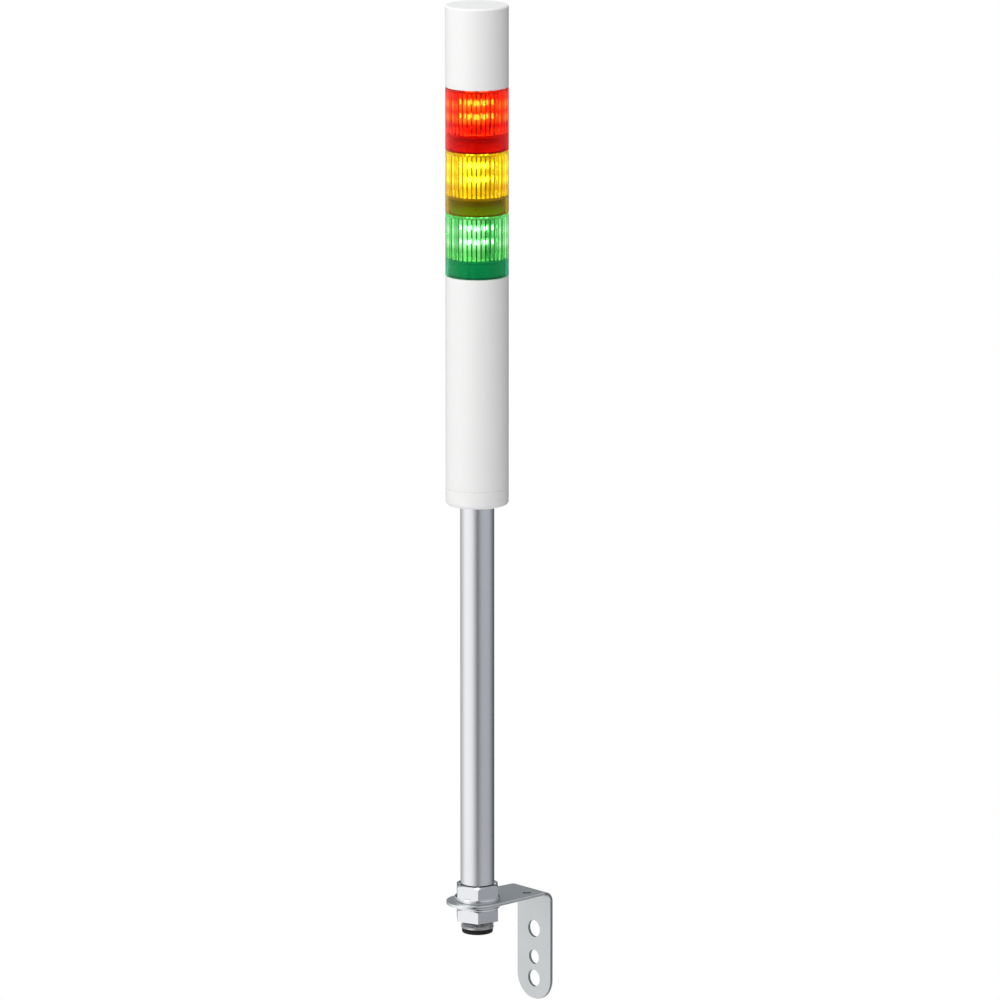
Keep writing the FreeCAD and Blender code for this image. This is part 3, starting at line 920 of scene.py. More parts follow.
def thread_tree() -> bpy.types.NodeTree:
    """Helical thread cut into the marked rows of a shell.

    Returns:
        The geometry group.
    """
    sizes = [("Pitch", "NodeSocketFloat", 0.0018), ("Thread Depth", "NodeSocketFloat", 0.001)]
    kit, given, result = shape_group("pipe_thread", sizes)
    out, turns, height = polar(kit)
    climb = kit.math("DIVIDE", height, given.outputs["Pitch"])
    phase = kit.math("FRACT", kit.math("SUBTRACT", climb, turns))
    slope = kit.math("ABSOLUTE", kit.math("SUBTRACT", kit.math("MULTIPLY", phase, 2.0), 1.0))
    groove = kit.math("SUBTRACT", 1.0, slope)
    rounded = kit.math("SMOOTH_MIN", groove, THREAD_ROOT, THREAD_ROUNDING)
    depth = kit.math("MULTIPLY", rounded, given.outputs["Thread Depth"])
    return finish_tree(kit, given, result, displaced(kit, given, out, depth))


def lamp_tree() -> bpy.types.NodeTree:
    """Two columns and two rows of one small piece on each side of a square post.

    Returns:
        The geometry group.
    """
    sizes = [("Column Pitch", "NodeSocketFloat", 0.0065), ("Row Pitch", "NodeSocketFloat", 0.0088),
             ("Face Distance", "NodeSocketFloat", 0.0065), ("Middle Height", "NodeSocketFloat", 0.0),
             ("Sides", "NodeSocketInt", 4)]
    kit, given, result = shape_group("lamp_rows", sizes)
    get = given.outputs
    spacing = {0: get["Column Pitch"], 1: get["Row Pitch"], 2: 2, 3: 2}
    grid = kit.add("GeometryNodeMeshGrid", spacing).outputs[0]
    back = kit.math("MULTIPLY", get["Face Distance"], -1.0)
    centre = kit.add("ShaderNodeCombineXYZ", {1: back, 2: get["Middle Height"]}).outputs[0]
    upright = kit.add("GeometryNodeTransform", {0: grid, "Translation": centre,
                                                "Rotation": (math.pi / 2, 0.0, 0.0)}).outputs[0]
    lamp = {"Points": upright, "Instance": get["Geometry"]}
    face = kit.add("GeometryNodeInstanceOnPoints", lamp).outputs[0]
    line = kit.add("GeometryNodeMeshLine", {"Count": get["Sides"], "Offset": (0.0, 0.0, 0.0)}).outputs[0]
    index = kit.add("GeometryNodeInputIndex").outputs[0]
    step = kit.math("DIVIDE", TAU, get["Sides"])
    turn = kit.add("ShaderNodeCombineXYZ", {2: kit.math("MULTIPLY", index, step)}).outputs[0]
    rotation = kit.add("FunctionNodeEulerToRotation", {0: turn}).outputs[0]
    whole = kit.add("GeometryNodeInstanceOnPoints", {"Points": line, "Instance": face, "Rotation": rotation})
    return finish_tree(kit, given, result, whole.outputs[0])


# --- Sub-assemblies ----------------------------------------------------------------------------


@dataclass
class Workshop:
    """What every sub-assembly needs.

    Attributes:
        nodes: The frame's CAD nodes by name.
        effects: Shared shader groups.
        ribs: Geometry tree of the lenses' ribs.
        thread: Geometry tree of the pole's thread.
        lamps: Geometry tree that sets out the lamps.
        made: Materials built so far, by name.
    """

    nodes: dict[str, bpy.types.Object]
    effects: Effects = field(default_factory=Effects)
    ribs: bpy.types.NodeTree = field(default_factory=rib_tree)
    thread: bpy.types.NodeTree = field(default_factory=thread_tree)
    lamps: bpy.types.NodeTree = field(default_factory=lamp_tree)
    made: dict[str, bpy.types.Material] = field(default_factory=dict)

    def material(self, finish: Finish) -> bpy.types.Material:
        """Material of a finish, built on its first use.

        Args:
            finish: The finish.

        Returns:
            Its material.
        """
        if finish.name not in self.made:
            self.made[finish.name] = finish.build(self.effects)
        return self.made[finish.name]

    def soften(self, name: str, node: str, width: float, segments: int = EDGE_STEPS) -> bpy.types.Object:
        """Copy of a CAD node with rounded edges.

        Args:
            name: Name of the new object.
            node: Name of the CAD node.
            width: Width of the rounding, in metres.
            segments: Steps in the rounding.

        Returns:
            The new object.
        """
        return softened_copy(name, self.nodes[node].data, width, segments)

    def dress(self, finish: Finish, *nodes: str) -> None:
        """Gives CAD nodes a finish.

        Args:
            finish: The finish.
            nodes: Names of the CAD nodes.
        """
        material = self.material(finish)
        for name in nodes:
            node = self.nodes[name]
            if not node.material_slots:
                node.data.materials.append(material)
            for place in node.material_slots:
                place.material = material
            log.info("dressed %s in %s", name, finish.name)

    def place(self, piece: bpy.types.Object, finish: Finish, body: str, slot: str, *nodes: str) -> None:
        """Dresses a new piece and fixes it to a body.

        Args:
            piece: The new piece.
            finish: Its finish.
            body: The CAD body that it rides on.
            slot: The record's material slot; not used.
            nodes: CAD nodes that it stands for.
        """
        if not piece.data.materials:
            piece.data.materials.append(self.material(finish))
        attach(piece, body)
        if nodes:
            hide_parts(*nodes)
        log.info("made %s for %s", piece.name, ", ".join(nodes) or body)


WHITE = Finish("white_moulding", (0.83, 0.83, 0.825), roughness=0.34, grain_depth=3e-6, tint=0.015)
INNER_WHITE = Finish("inner_moulding", (0.8, 0.8, 0.78), roughness=0.5)
RUBBER = Rubber("black_rubber", (0.006, 0.006, 0.0065), roughness=0.55, grain_scale=900.0, grain_depth=6e-6)
SHEET = Finish("zinc_plated_sheet", (0.53, 0.55, 0.553), roughness=0.36, spread=0.12, grain_scale=700.0,
               grain_depth=2e-6, tint=0.12, metallic=1.0)
SHEET_RIM = replace(SHEET, name="bright_sheet_rim", colour=(0.66, 0.67, 0.68), roughness=0.1, spread=0.05)
TUBE = DrawnMetal("satin_tube", (0.68, 0.69, 0.71), roughness=0.25, spread=0.06, grain_depth=5e-7)
CUT_THREAD = Finish("cut_thread", (0.30, 0.30, 0.31), roughness=0.3, metallic=1.0)
# Dark metal for the bracket's plate edges, fold edge and hole wall: painted shade.
SHADE_PAINTED_EDGE = Finish("shade_painted_sheet_edge", (0.20, 0.21, 0.22), roughness=0.4, grain_scale=1200.0, grain_depth=4e-6,
                  metallic=1.0)
PLATING = Finish("bright_plating", (0.67, 0.68, 0.70), roughness=0.14, spread=0.08, grain_scale=500.0,
                 grain_depth=1e-6, tint=0.05, metallic=1.0)
WASHER = replace(PLATING, name="polished_plating", roughness=0.06, spread=0.05)
CAST = Finish("cast_metal", (0.5, 0.5, 0.51), roughness=0.55, grain_scale=400.0, grain_depth=2e-5,
              metallic=1.0)
SCREW = Finish("plated_screw", (0.6, 0.6, 0.62), roughness=0.3, metallic=1.0)
BOARD = Finish("board_mask", (0.72, 0.76, 0.7), roughness=0.35)
GLOW_PAINTED_BOARD = GlowPaintedBoard("glow_painted_board_mask", (0.72, 0.76, 0.7), roughness=0.35)
COMPONENT = Finish("dark_component", (0.03, 0.03, 0.032), roughness=0.45)
BRASS = Finish("brass_contact", (0.8, 0.6, 0.25), roughness=0.25, metallic=1.0)
LENS = LensPlastic("lens_plastic", (0.5, 0.5, 0.5), roughness=0.06, spread=0.04, tint=0.02, grain_depth=1e-6)
LAMP = Lamp("lamp_window", (0.9, 0.9, 0.85), roughness=0.3)
# Each lens's *_glow colours are painted light in the plastic, and groove sets the painted shade in its grooves.
LENSES = {
    Signal.GREEN: replace(LENS, name="green_lens_plastic", colour=(0.045, 0.50, 0.13), groove=0.16,
                          band_tint=(0.42, 1.08, 1.9), painted_band_glow=(0.0, 0.008, 0.004),
                          painted_low_glow=(0.12, 0.31, 0.09), painted_warm_glow=(0.20, 0.38, 0.17),
                          painted_row_glow=(0.40, 0.54, 0.34), painted_collar_glow=(0.05, 0.22, 0.02)),
    Signal.YELLOW: replace(LENS, name="yellow_lens_plastic", colour=(0.86, 0.58, 0.006), groove=0.25,
                           band_tint=(0.68, 0.66, 1.0), painted_low_glow=(0.27, 0.17, 0.0),
                           painted_warm_glow=(0.32, 0.27, 0.004), painted_row_glow=(0.50, 0.52, 0.03),
                           painted_collar_glow=(0.10, 0.06, 0.0)),
    Signal.RED: replace(LENS, name="red_lens_plastic", colour=(0.72, 0.016, 0.002), groove=0.4,
                        band_tint=(1.1, 0.6, 1.0), painted_band_glow=(0.06, 0.0, 0.0), painted_low_glow=(0.28, 0.001, 0.0),
                        painted_warm_glow=(0.36, 0.024, 0.0), painted_row_glow=(0.58, 0.20, 0.008)),
}
LAMPS = {
    Signal.GREEN: replace(LAMP, name="green_lamp_window", light=(1.0, 0.85, 0.5), strength=60.0),
    Signal.YELLOW: replace(LAMP, name="yellow_lamp_window", strength=50.0),
    Signal.RED: replace(LAMP, name="red_lamp_window", light=(0.8, 1.0, 0.4), strength=300.0),
}
GLOW_PAINTED_BOARDS = {
    Signal.GREEN: replace(GLOW_PAINTED_BOARD, name="green_glow_painted_board", light=(4.0, 1.8, 1.6)),
    Signal.YELLOW: replace(GLOW_PAINTED_BOARD, name="yellow_glow_painted_board", light=(1.6, 2.0, 8.0)),
    Signal.RED: replace(GLOW_PAINTED_BOARD, name="red_glow_painted_board", light=(2.0, 16.0, 10.0)),
}


@dataclass
class Mast:
    """Bracket, pole, its fastenings and the end bush.

    Attributes:
        shop: Shared effects and finishes.
        edge: Width of the rounded edges.
        sheet: Thickness of the bracket's sheet.
        bend: Inner radius of its fold.
        arm_reach: Where the arm's flat ends, before the fold.
        hole_place: Middle of the arm's small hole.
        hole_reach: Radius round it that takes in the hole's rim.
        thread_pitch: Rise of the thread in one turn.
        thread_depth: Crest to root.
        thread_steps: Rows of points in one pitch.
        chamfer: Chamfer at the thread's end.
        wall: The tube's wall.
        thread_radius: Outer radius of the thread.
        shoulder_above_nut: Thread left above the upper nut.
        columns: Points round the pole.
    """

    shop: Workshop
    edge: float = 0.25e-3
    sheet: float = 2.0e-3
    bend: float = 5.0e-3
    arm_reach: float = 0.044
    hole_place: Vector = field(default_factory=lambda: Vector((0.0083, 0.0354)))
    hole_reach: float = 3.4e-3
    thread_pitch: float = 1.814e-3
    thread_depth: float = 1.0e-3
    thread_steps: int = 10
    chamfer: float = 0.8e-3
    wall: float = 2.0e-3
    thread_radius: float = 10.4775e-3
    shoulder_above_nut: float = 0.2e-3
    columns: int = 144

    def bracket(self) -> None:
        """Folded sheet with rolled edges."""
        piece = self.shop.soften("folded_bracket", "wall_bracket", self.edge, FOLDED_EDGE_STEPS)
        for finish in (SHEET, SHADE_PAINTED_EDGE, SHEET_RIM):
            piece.data.materials.append(self.shop.material(finish))
        # The plate's edges, the fold's +X edge and the hole's wall get dark metal as painted shade; the arm's
        # edges get the bright rim.
        shade_painted_edge, rim = 1, 2
        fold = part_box("upper_washer")[0].z - self.sheet - self.bend
        for face in piece.data.polygons:
            centre, normal = face.center, face.normal
            side = abs(normal.z) < SIDE
            in_plate = centre.z < fold and abs(normal.y) < FLAT
            in_fold = centre.z >= fold and normal.x > FLAT and centre.y > self.arm_reach
            in_hole = side and (centre.xy - self.hole_place).length < self.hole_reach
            if in_plate or in_fold or in_hole:
                face.material_index = shade_painted_edge
            elif centre.z >= fold and side and centre.y < self.arm_reach:
                face.material_index = rim
        self.shop.place(piece, SHEET, "mast", "plated_sheet", "wall_bracket")

    def fastenings(self) -> None:
        """Nuts and washers with broken edges."""
        finishes = {"lower_nut": PLATING, "upper_nut": PLATING, "lower_washer": WASHER,
                    "upper_washer": WASHER}
        for node, finish in finishes.items():
            piece = self.shop.soften("bright_" + node, node, self.edge)
            self.shop.place(piece, finish, "mast", "bright_plating", node)

    def bush(self) -> None:
        """Rubber bush at the foot."""
        piece = self.shop.soften("outlet_bush", "end_bush", self.edge)
        self.shop.place(piece, RUBBER, "mast", "black_rubber", "end_bush")

    def pole(self) -> None:
        """Tube with a cut thread at its foot."""
        low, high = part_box("pole")
        outer = high.x
        bore = outer - self.wall
        cut = self.thread_radius
        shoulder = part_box("upper_nut")[1].z + self.shoulder_above_nut
        start = low.z + self.chamfer
        count = round((shoulder - start) / self.thread_pitch * self.thread_steps)
        half = self.chamfer / 2
        rows = [Row(bore, low.z), Row(cut - self.chamfer, low.z), Row(cut - half, low.z + half)]
        run_out = self.thread_steps
        for k in range(count + 1):
            share = min(1.0, k / run_out, (count - k) / run_out)
            rows.append(Row(cut, start + (shoulder - start) * k / count, mark=share))
        rows += [Row(outer, shoulder + outer - cut), Row(outer, high.z), Row(bore, high.z)]
        piece = turned_shell("threaded_pole", rows, spaced_columns(self.columns), "cut")
        run_tree(piece, self.shop.thread, {"Pitch": self.thread_pitch, "Thread Depth": self.thread_depth,
                                           "Material": self.shop.material(TUBE)})
        smooth(piece.data)
        piece.data.materials.append(self.shop.material(CUT_THREAD))
        for face in piece.data.polygons:
            in_bore = face.center.xy.length <= bore + half / 2
            if face.center.z < shoulder and not in_bore:
                face.material_index = 1
        self.shop.place(piece, TUBE, "mast", "satin_tube", "pole")

    def build(self) -> None:
        """Makes every piece of the mast's lower end."""
        self.bracket()
        self.fastenings()
        self.bush()
        self.pole()


@dataclass
class Body:
    """White body with its bottom ring, and what it holds."""

    shop: Workshop
    edge: float = 0.07e-3

    def build(self) -> None:
        """Makes the body's shells and dresses its inner pieces."""
        for name, node in (("body_shell", "body_housing"), ("bottom_cup", "body_bottom_ring")):
            piece = self.shop.soften(name, node, self.edge)
            self.shop.place(piece, WHITE, "mast", "white_housing", node)
        self.shop.dress(CAST, "pole_holder")
        self.shop.dress(SCREW, "pole_clamp_screws", "holder_screws")
        self.shop.dress(BOARD, "power_board", "body_contact_plate")
        self.shop.dress(COMPONENT, "power_board_parts", "terminal_block")
        self.shop.dress(BRASS, "body_contact_tracks")
        self.shop.dress(RUBBER, "body_seal", "body_collar_seal")


class Outline(Enum):
    """Outline of a lamp's part, by the power that rounds its corners."""

    BLOCK = 12.0
    SOFT_BLOCK = 10.0
    OVAL = 2.0


@dataclass
class LightUnit:
    """One light: its lens, its lamps and the boards behind them.

    Attributes:
        shop: Shared effects and finishes.
        signal: Which light it is.
    """

    shop: Workshop
    signal: Signal
    # The lens's wall, its smooth band at the foot and its edges.
    wall: float = 1.8e-3
    band: float = 11.4e-3
    shoulder: float = 2.0e-3
    edge: float = 0.3e-3
    # The collar that goes up into the next unit, with the seat of its seal.
    collar_height: float = 9.6e-3
    collar_gap: float = 1.3e-3
    collar_wall: float = 1.5e-3
    running_gap: float = 0.3e-3
    seal: float = 1.0e-3
    seat_low: float = 4.9e-3
    seat_high: float = 6.4e-3
    seat_width: float = 1.3e-3
    # The twist lock: heights in metres and turns in degrees.
    lug_low: float = 4.2e-3
    lug_high: float = 9.4e-3
    hook_high: float = 3.6e-3
    lug_start: float = -56.0
    lug_span: float = 41.0
    stop_slot: float = 4.2
    stop_span: float = 15.0
    hook_span: float = 22.0
    locks: int = 3
    # The ribs inside the lens.
    rib_count: int = 42
    rib_depth: float = 0.4e-3
    rib_steps: int = 12
    # The lamps on the four boards, each a case with a domed window in a cup.
    lamp_width: float = 3.2e-3
    lamp_height: float = 2.8e-3
    lamp_depth: float = 0.9e-3
    lamp_column_pitch: float = 6.5e-3
    lamp_rounding: float = 0.2e-3
    lamp_sides: int = 32
    cup_radius: float = 1.25e-3
    cup_depth: float = 0.35e-3
    cup_taper: float = 0.97
    dome_share: float = 0.95
    dome_height: float = 0.3e-3
    dome_steps: int = 5
    # Share of the window's emission that the case gets, as painted light.
    painted_case_light_share: float = 0.4
    boards: int = 4

    def node(self, piece: str) -> str:
        """Name of one of this light's CAD nodes or materials."""
        return f"{self.signal.value}_{piece}"

    def rows(self) -> tuple[float, float]:
        """Heights of the two rows of lamps."""
        low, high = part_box(self.node("leds"))
        return low.z + self.lamp_height / 2, high.z - self.lamp_height / 2

    def arcs(self, first: float, span: float) -> list[tuple[float, float]]:
        """First and last angle of a feature that each lock has.

        Args:
            first: Where the first one starts, in degrees.
            span: How far it runs, in degrees.

        Returns:
            The arcs in radians.
        """
        starts = [math.radians(first + 360.0 * k / self.locks) for k in range(self.locks)]
        return [(start, start + math.radians(span)) for start in starts]

    def section(self) -> list[Row]:
        """Section of the lens, anticlockwise from its outer foot.

        Returns:
            The section's points in order.
        """
        low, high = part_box(self.node("lens"))
        foot, mouth = low.z, high.z - self.collar_height
        outer = high.x
        bore = outer - self.wall
        collar = bore - self.collar_gap
        collar_bore = collar - self.collar_wall
        lug = bore - self.running_gap
        hook = collar + self.running_gap
        stop_low = mouth + self.seal + self.running_gap
        lit_top = mouth - self.shoulder
        base = foot + self.band
        hook_top = foot + self.hook_high
        hook_low = foot + self.seal
        both = {"lug": lug, "stop": lug}
        seat = collar_bore - self.seat_width
        return [
            Row(outer - self.edge, foot),
            Row(outer, foot + self.edge),
            Row(outer, mouth - self.edge),
            Row(outer - self.edge, mouth),
            Row(collar, mouth),
            Row(collar, stop_low),
            Row(collar, stop_low, {"stop": lug}),
            Row(collar, mouth + self.lug_low, {"stop": lug}),
            Row(collar, mouth + self.lug_low, both),
            Row(collar, mouth + self.lug_high, both),
            Row(collar, mouth + self.lug_high),
            Row(collar, mouth + self.collar_height),
            Row(collar_bore, mouth + self.collar_height),
            Row(collar_bore, mouth + self.seat_high),
            Row(seat, mouth + self.seat_high),
            Row(seat, mouth + self.seat_low),
            Row(collar_bore, mouth + self.seat_low),
            Row(collar_bore, lit_top),
            Row(bore, lit_top),
            Row(bore, lit_top, mark=1.0),
            Row(bore, base, mark=1.0),
            Row(bore, base),
            Row(bore, hook_top),
            Row(bore, hook_top, {"hook": hook}),
            Row(bore, hook_low, {"hook": hook}),
            Row(bore, hook_low),
            Row(bore, foot),
        ]

    def lens(self) -> None:
        """Ribbed coloured moulding with its collar, lugs, stops and hooks."""
        node = self.node("lens")
        low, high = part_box(node)
        gap = math.degrees(self.running_gap / (high.x - self.wall - self.collar_gap))
        arcs = {
            "lug": self.arcs(self.lug_start, self.lug_span),
            "stop": self.arcs(self.lug_start - self.stop_slot - self.stop_span, self.stop_span),
            "hook": self.arcs(self.lug_start - self.stop_slot + gap, self.hook_span),
        }
        columns = spaced_columns(self.rib_count * self.rib_steps, arcs)
        piece = turned_shell(self.node("ribbed_lens"), self.section(), columns, "cut")
        finish = replace(LENSES[self.signal], ribs=self.rib_count, lit_foot=low.z + self.band,
                         lit_top=high.z - self.collar_height, rows=self.rows())
        run_tree(piece, self.shop.ribs, {"Rib Count": self.rib_count, "Rib Depth": self.rib_depth,
                                         "Material": self.shop.material(finish)})
        smooth(piece.data)
        self.shop.place(piece, finish, self.node("unit"), node, node)

    def outline(self, half_width: float, half_height: float, depth: float, shape: Outline) -> list[Vector]:
        """Loop of points round a lamp.

        Args:
            half_width: Half its width.
            half_height: Half its height.
            depth: Where it lies along Y.
            shape: How square it is.

        Returns:
            The points.
        """
        points = []
        for k in range(self.lamp_sides):
            turn = TAU * k / self.lamp_sides
            c, s = math.cos(turn), math.sin(turn)
            grow = (abs(c) ** shape.value + abs(s) ** shape.value) ** (-1 / shape.value)
            points.append(Vector((half_width * c * grow, depth, half_height * s * grow)))
        return points

    def lamp_shapes(self) -> tuple[bpy.types.Object, bpy.types.Object]:
        """Case and window of one lamp, at the origin and facing -Y.

        Returns:
            The case and the window.
        """
        w, h, front = self.lamp_width / 2, self.lamp_height / 2, -self.lamp_depth
        cup, floor = self.cup_radius, self.cup_depth - self.lamp_depth
        foot = cup * self.cup_taper
        case = [
            self.outline(w, h, 0.0, Outline.BLOCK),
            self.outline(w, h, self.lamp_rounding + front, Outline.BLOCK),
            self.outline(w - self.lamp_rounding, h - self.lamp_rounding, front, Outline.SOFT_BLOCK),
            self.outline(cup, cup, front, Outline.OVAL),
            self.outline(foot, foot, floor, Outline.OVAL),
        ]
        dome = []
        for k in range(self.dome_steps):
            rise = math.pi / 2 * k / self.dome_steps
            size = cup * self.dome_share * math.cos(rise)
            dome.append(self.outline(size, size, floor - self.dome_height * math.sin(rise), Outline.OVAL))
        shapes = (loft(self.node("lamp_cases"), case), loft(self.node("lamp_windows"), dome))
        return tuple(link_piece(mesh.name, mesh) for mesh in shapes)

    def lamps(self) -> None:
        """Cases and windows of all the lamps on the four boards."""
        low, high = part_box(self.node("leds"))
        window_finish = LAMPS[self.signal]
        # The case glows with painted light, a share of its window's emission.
        case_finish = replace(window_finish, name=self.node("lamp_case"),
                              strength=window_finish.strength * self.painted_case_light_share)
        case, window = self.lamp_shapes()
        sizes = {"Column Pitch": self.lamp_column_pitch, "Row Pitch": (high.z - low.z) - self.lamp_height,
                 "Face Distance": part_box(self.node("led_boards"))[1].x, "Middle Height": (low.z + high.z) / 2,
                 "Sides": self.boards}
        for piece, finish in ((case, case_finish), (window, window_finish)):
            run_tree(piece, self.shop.lamps, {**sizes, "Material": self.shop.material(finish)})
            smooth(piece.data)
        self.shop.place(case, case_finish, self.node("unit"), self.node("led"), self.node("leds"))
        self.shop.place(window, window_finish, self.node("unit"), self.node("led"))

    def build(self) -> None:
        """Makes the unit's pieces."""
        self.lens()
        self.lamps()
        self.shop.dress(INNER_WHITE, self.node("chassis"))
        # The boards get the lamps' light painted on them.
        self.shop.dress(replace(GLOW_PAINTED_BOARDS[self.signal], rows=self.rows()), self.node("led_boards"))
        self.shop.dress(BOARD, self.node("contact_plate"))
        self.shop.dress(BRASS, self.node("contact_tracks"), self.node("contact_pins"))
        self.shop.dress(RUBBER, self.node("seal"))


@dataclass
class Sounder:
    """White cap with the buzzer."""

    shop: Workshop
    edge: float = 0.12e-3

    def build(self) -> None:
        """Makes the cover and dresses its inner pieces."""
        piece = self.shop.soften("sounder_cap", "sounder_cover", self.edge)
        self.shop.place(piece, WHITE, "sounder_unit", "white_housing", "sounder_cover")
        self.shop.dress(INNER_WHITE, "sounder_chassis")
        self.shop.dress(BOARD, "sounder_board")
        self.shop.dress(COMPONENT, "sounder_capsule")
        self.shop.dress(BRASS, "sounder_contact_pins")


# --- Studio ------------------------------------------------------------------------------------


def even(level: float) -> Colour:
    """Grey of a level."""
    return level, level, level


@dataclass
class Studio:
    """Floor, surroundings, lamps and camera.

    Directions are in degrees to the camera's right. Bands of the surroundings are pairs of the
    sine of the elevation.

    Attributes:
        azimuth: Direction of the camera's right-hand side, in degrees from +X.
        distance: Camera to the pole axis, level, in metres.
        camera_height: Camera above the cable outlet.
        pitch: How far it looks down, in degrees.
        yaw: How far it looks past the axis, in degrees.
        lens: Focal length in millimetres.
        far: Farthest distance that the camera sees.
        floor_drop: Depth of the floor below the object.
        floor_radius: Radius of the floor.
        floor_sides: Sides of the floor's disc.
        floor_colour: Grey of the floor where it keeps a shadow.
        floor_glow: Level of the white that lightens it.
        floor_share: Share of that white.
        level: Level of the soft light from all round.
        behind: Colour behind the camera's back.
        left: Direction and level of each panel on the left.
        middle: The same for the dark panel in the middle.
        right: The same for the panels on the right.
        cool: Tint of the right-hand panels.
        low_middle: Share of the middle panel's level below the horizon.
        low_right: Share of the right-hand panels' level below the horizon.
        soft: Direction and level of the soft light.
        low_band: Band in which the surroundings below the horizon begin.
        strip_foot: Band in which the white strip begins.
        strip_head: Band in which it ends.
        ceiling_band: Band in which the ceiling begins.
        ceiling: Grey of the ceiling in reflections.
    """

    azimuth: float = 48.357
    distance: float = 5.4
    camera_height: float = 1.4208
    pitch: float = 11.903
    yaw: float = 0.1534
    lens: float = 313.40
    far: float = 200.0
    floor_drop: float = 0.35
    floor_radius: float = 1.1
    floor_sides: int = 96
    floor_colour: float = 0.9
    floor_glow: float = 1.12
    floor_share: float = 0.85
    level: float = 0.79
    behind: Colour = (0.13, 0.163, 0.20)
    left: Panels = ((-150, 0.5), (-113, 0.85), (-91, 1.25), (-60, 1.25), (-40, 1.15), (-26, 0.9), (-10, 0.44))
    middle: tuple[float, float] = (2, 0.24)
    right: Panels = ((12, 0.42), (30, 0.7), (60, 0.75), (92, 0.68), (116, 0.34), (146, 0.1))
    cool: Colour = (0.98, 1.0, 1.06)
    low_middle: float = 0.15
    low_right: float = 0.49
    soft: Panels = ((-180, 0.5), (-130, 0.85), (-70, 1.0), (38, 1.0), (70, 0.22), (150, 0.08), (180, 0.3))
    low_band: tuple[float, float] = (-0.205, -0.25)
    strip_foot: tuple[float, float] = (0.02, 0.06)
    strip_head: tuple[float, float] = (0.155, 0.18)
    ceiling_band: tuple[float, float] = (0.45, 0.8)
    ceiling: float = 0.95

    def direction(self, offset: float, elevation: float) -> Vector:
        """Unit vector from the object, to the right of the camera by an offset.

        Args:
            offset: Degrees to the camera's right.
            elevation: Degrees above the horizon.

        Returns:
            The direction.
        """
        a = math.radians(self.azimuth - 90.0 + offset)
        e = math.radians(elevation)
        return Vector((math.cos(a) * math.cos(e), math.sin(a) * math.cos(e), math.sin(e)))

    def camera(self) -> None:
        """Long lens in front of the bracket's free side, looking a little down."""
        data = bpy.data.cameras.new("camera")
        data.lens = self.lens
        data.clip_end = self.far
        camera = bpy.data.objects.new("camera", data)
        bpy.context.scene.collection.objects.link(camera)
        back = self.direction(0.0, 0.0)
        camera.location = back * self.distance + Vector((0.0, 0.0, self.camera_height))
        camera.rotation_mode = "XYZ"
        camera.rotation_euler = (math.radians(90.0 - self.pitch), 0.0, math.radians(self.azimuth - self.yaw))
        bpy.context.scene.camera = camera

    def shadow_keeper(self, kit: NodeKit) -> bpy.types.NodeSocket:
        """1 for rays that look at the surroundings, from the camera or through metal and glass.

        Args:
            kit: Kit for the floor's material.

        Returns:
            The mask.
        """
        path = kit.add("ShaderNodeLightPath")
        unscattered = kit.math("LESS_THAN", path.outputs["Diffuse Depth"], 0.5)
        through = kit.math("MULTIPLY", path.outputs["Is Transmission Ray"], unscattered)
        seen = kit.math("MAXIMUM", path.outputs["Is Camera Ray"], through)
        return kit.math("MAXIMUM", seen, path.outputs["Is Glossy Ray"])

    def floor(self) -> None:
        """Wide pale floor that keeps a soft shadow."""
        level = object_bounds()[0].z - self.floor_drop
        mesh = bpy.data.meshes.new("floor")
        turns = [TAU * k / self.floor_sides for k in range(self.floor_sides)]
        rim = [(self.floor_radius * math.cos(a), self.floor_radius * math.sin(a), level) for a in turns]
        mesh.from_pydata(rim, [], [tuple(range(self.floor_sides))])
        floor = link_piece("floor", mesh)
        material = bpy.data.materials.new("pale_floor")
        material.use_nodes = True
        kit = NodeKit(material.node_tree)
        material.node_tree.nodes.clear()
        matt = kit.add("ShaderNodeBsdfDiffuse", {"Color": (*even(self.floor_colour), 1.0)})
        white = kit.add("ShaderNodeEmission", {"Color": WHITE_LIGHT, "Strength": self.floor_glow})
        share = kit.math("MULTIPLY", self.shadow_keeper(kit), self.floor_share)
        mix = kit.add("ShaderNodeMixShader", {0: share, 1: matt.outputs[0], 2: white.outputs[0]})
        kit.add("ShaderNodeOutputMaterial", {0: mix.outputs[0]})
        mesh.materials.append(material)
        floor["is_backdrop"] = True

    def wheel(self, kit: NodeKit, turn: bpy.types.NodeSocket,
              panels: Sequence[tuple[float, Colour]]) -> bpy.types.NodeSocket:
        """Ring of colours round the object.

        Args:
            kit: Kit for the world's tree.
            turn: Direction, from 0 to 1 for a whole turn.
            panels: Direction and colour of each stop.

        Returns:
            The ring's colour.
        """
        return kit.ramp(turn, [((degrees + 180.0) / 360.0, colour) for degrees, colour in panels])

    def panels(self, middle_share: float, right_share: float) -> list[tuple[float, Colour]]:
        """Panels that metal and glass reflect.

        Args:
            middle_share: Share of the middle panel's level.
            right_share: Share of the right-hand panels' level.

        Returns:
            Direction and colour of each panel.
        """
        degrees, level = self.middle
        stops = [(-180, self.behind), *((place, even(light)) for place, light in self.left)]
        stops.append((degrees, even(level * middle_share)))
        for place, light in self.right:
            stops.append((place, tuple(light * right_share * part for part in self.cool)))
        return [*stops, (180, self.behind)]

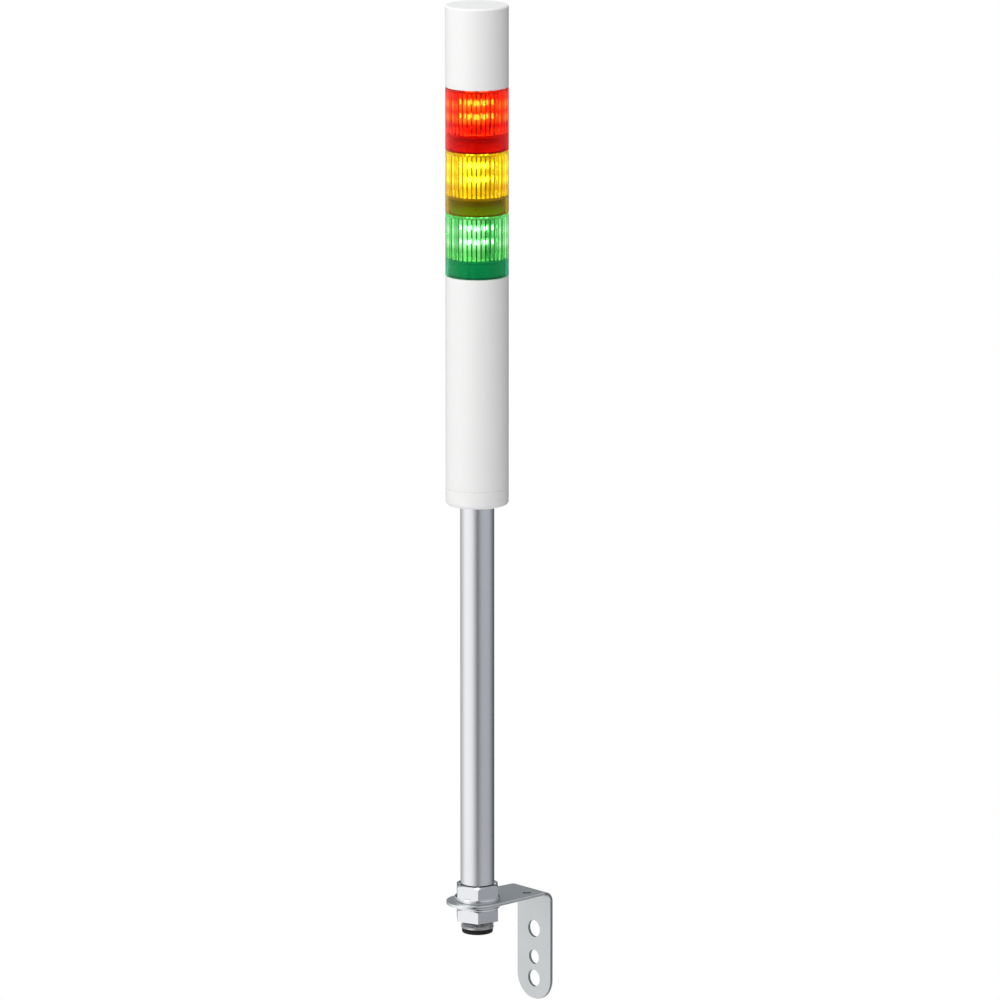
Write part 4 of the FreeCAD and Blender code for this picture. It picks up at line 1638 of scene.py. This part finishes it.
    def surroundings(self) -> None:
        """World: white to the camera, and a studio with darker sides for light and reflections."""
        world = bpy.data.worlds.new("studio")
        bpy.context.scene.world = world
        world.use_nodes = True
        kit = NodeKit(world.node_tree)
        world.node_tree.nodes.clear()
        place = kit.place("Generated")
        across = kit.vector("DOT_PRODUCT", place, self.direction(90.0, 0.0))
        front = kit.vector("DOT_PRODUCT", place, self.direction(0.0, 0.0))
        turn = kit.math("ADD", kit.math("DIVIDE", kit.math("ARCTAN2", across, front), TAU), 0.5)
        up = kit.add("ShaderNodeSeparateXYZ", {0: place}).outputs[2]
        high_side = self.wheel(kit, turn, self.panels(1.0, 1.0))
        low_side = self.wheel(kit, turn, self.panels(self.low_middle, self.low_right))
        sides = kit.blend(kit.fit(up, self.low_band), high_side, low_side)
        strip = kit.math("MULTIPLY", kit.fit(up, self.strip_foot), kit.fit(up, self.strip_head, (1.0, 0.0)))
        overhead = kit.fit(up, self.ceiling_band)
        room = kit.blend(overhead, kit.blend(strip, sides, WHITE_LIGHT), (*even(self.ceiling), 1.0))
        sky = self.wheel(kit, turn, [(degrees, even(level)) for degrees, level in self.soft])
        metal = kit.add("ShaderNodeBackground", {0: room, 1: 1.0})
        light = kit.add("ShaderNodeBackground", {0: kit.blend(overhead, sky, WHITE_LIGHT), 1: self.level})
        white = kit.add("ShaderNodeBackground", {0: WHITE_LIGHT, 1: 1.0})
        path = kit.add("ShaderNodeLightPath")
        glossy = path.outputs["Is Glossy Ray"]
        lit = kit.add("ShaderNodeMixShader", {0: glossy, 1: light.outputs[0], 2: metal.outputs[0]})
        seen = kit.math("MAXIMUM", path.outputs["Is Camera Ray"], path.outputs["Is Transmission Ray"])
        mix = kit.add("ShaderNodeMixShader", {0: seen, 1: lit.outputs[0], 2: white.outputs[0]})
        kit.add("ShaderNodeOutputWorld", {0: mix.outputs[0]})

    def soft_box(self, name: str, offset: float, elevation: float, distance: float, size: float,
                 power: float) -> None:
        """Square area lamp that faces the tower.

        Args:
            name: The lamp's name.
            offset: Degrees to the camera's right.
            elevation: Degrees above the horizon.
            distance: Metres from the tower's middle.
            size: Side of the square.
            power: Watts.
        """
        data = bpy.data.lights.new(name, "AREA")
        data.size = size
        data.energy = power
        lamp = bpy.data.objects.new(name, data)
        bpy.context.scene.collection.objects.link(lamp)
        low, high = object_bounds()
        middle = Vector((0.0, 0.0, (low.z + high.z) / 2))
        away = self.direction(offset, elevation)
        lamp.location = middle + away * distance
        lamp.rotation_mode = "QUATERNION"
        lamp.rotation_quaternion = away.to_track_quat("Z", "Y")

    def build(self) -> None:
        """Sets up everything round the object."""
        self.camera()
        self.floor()
        self.surroundings()
        self.soft_box("key", offset=-55.0, elevation=30.0, distance=2.2, size=1.4, power=12.0)
        self.soft_box("top", offset=-20.0, elevation=75.0, distance=2.0, size=1.2, power=13.0)
        bpy.context.scene.view_settings.view_transform = "Standard"


def write_size() -> None:
    bpy.context.view_layer.update()


def main() -> None:
    """Builds every sub-assembly and the studio."""
    logging.basicConfig(level=logging.INFO)
    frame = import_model()
    shop = Workshop(frame["nodes"])
    Mast(shop).build()
    Body(shop).build()
    for signal in Signal:
        LightUnit(shop, signal).build()
    Sounder(shop).build()
    Studio().build()
    write_size()


if __name__ == "__main__":
    main()
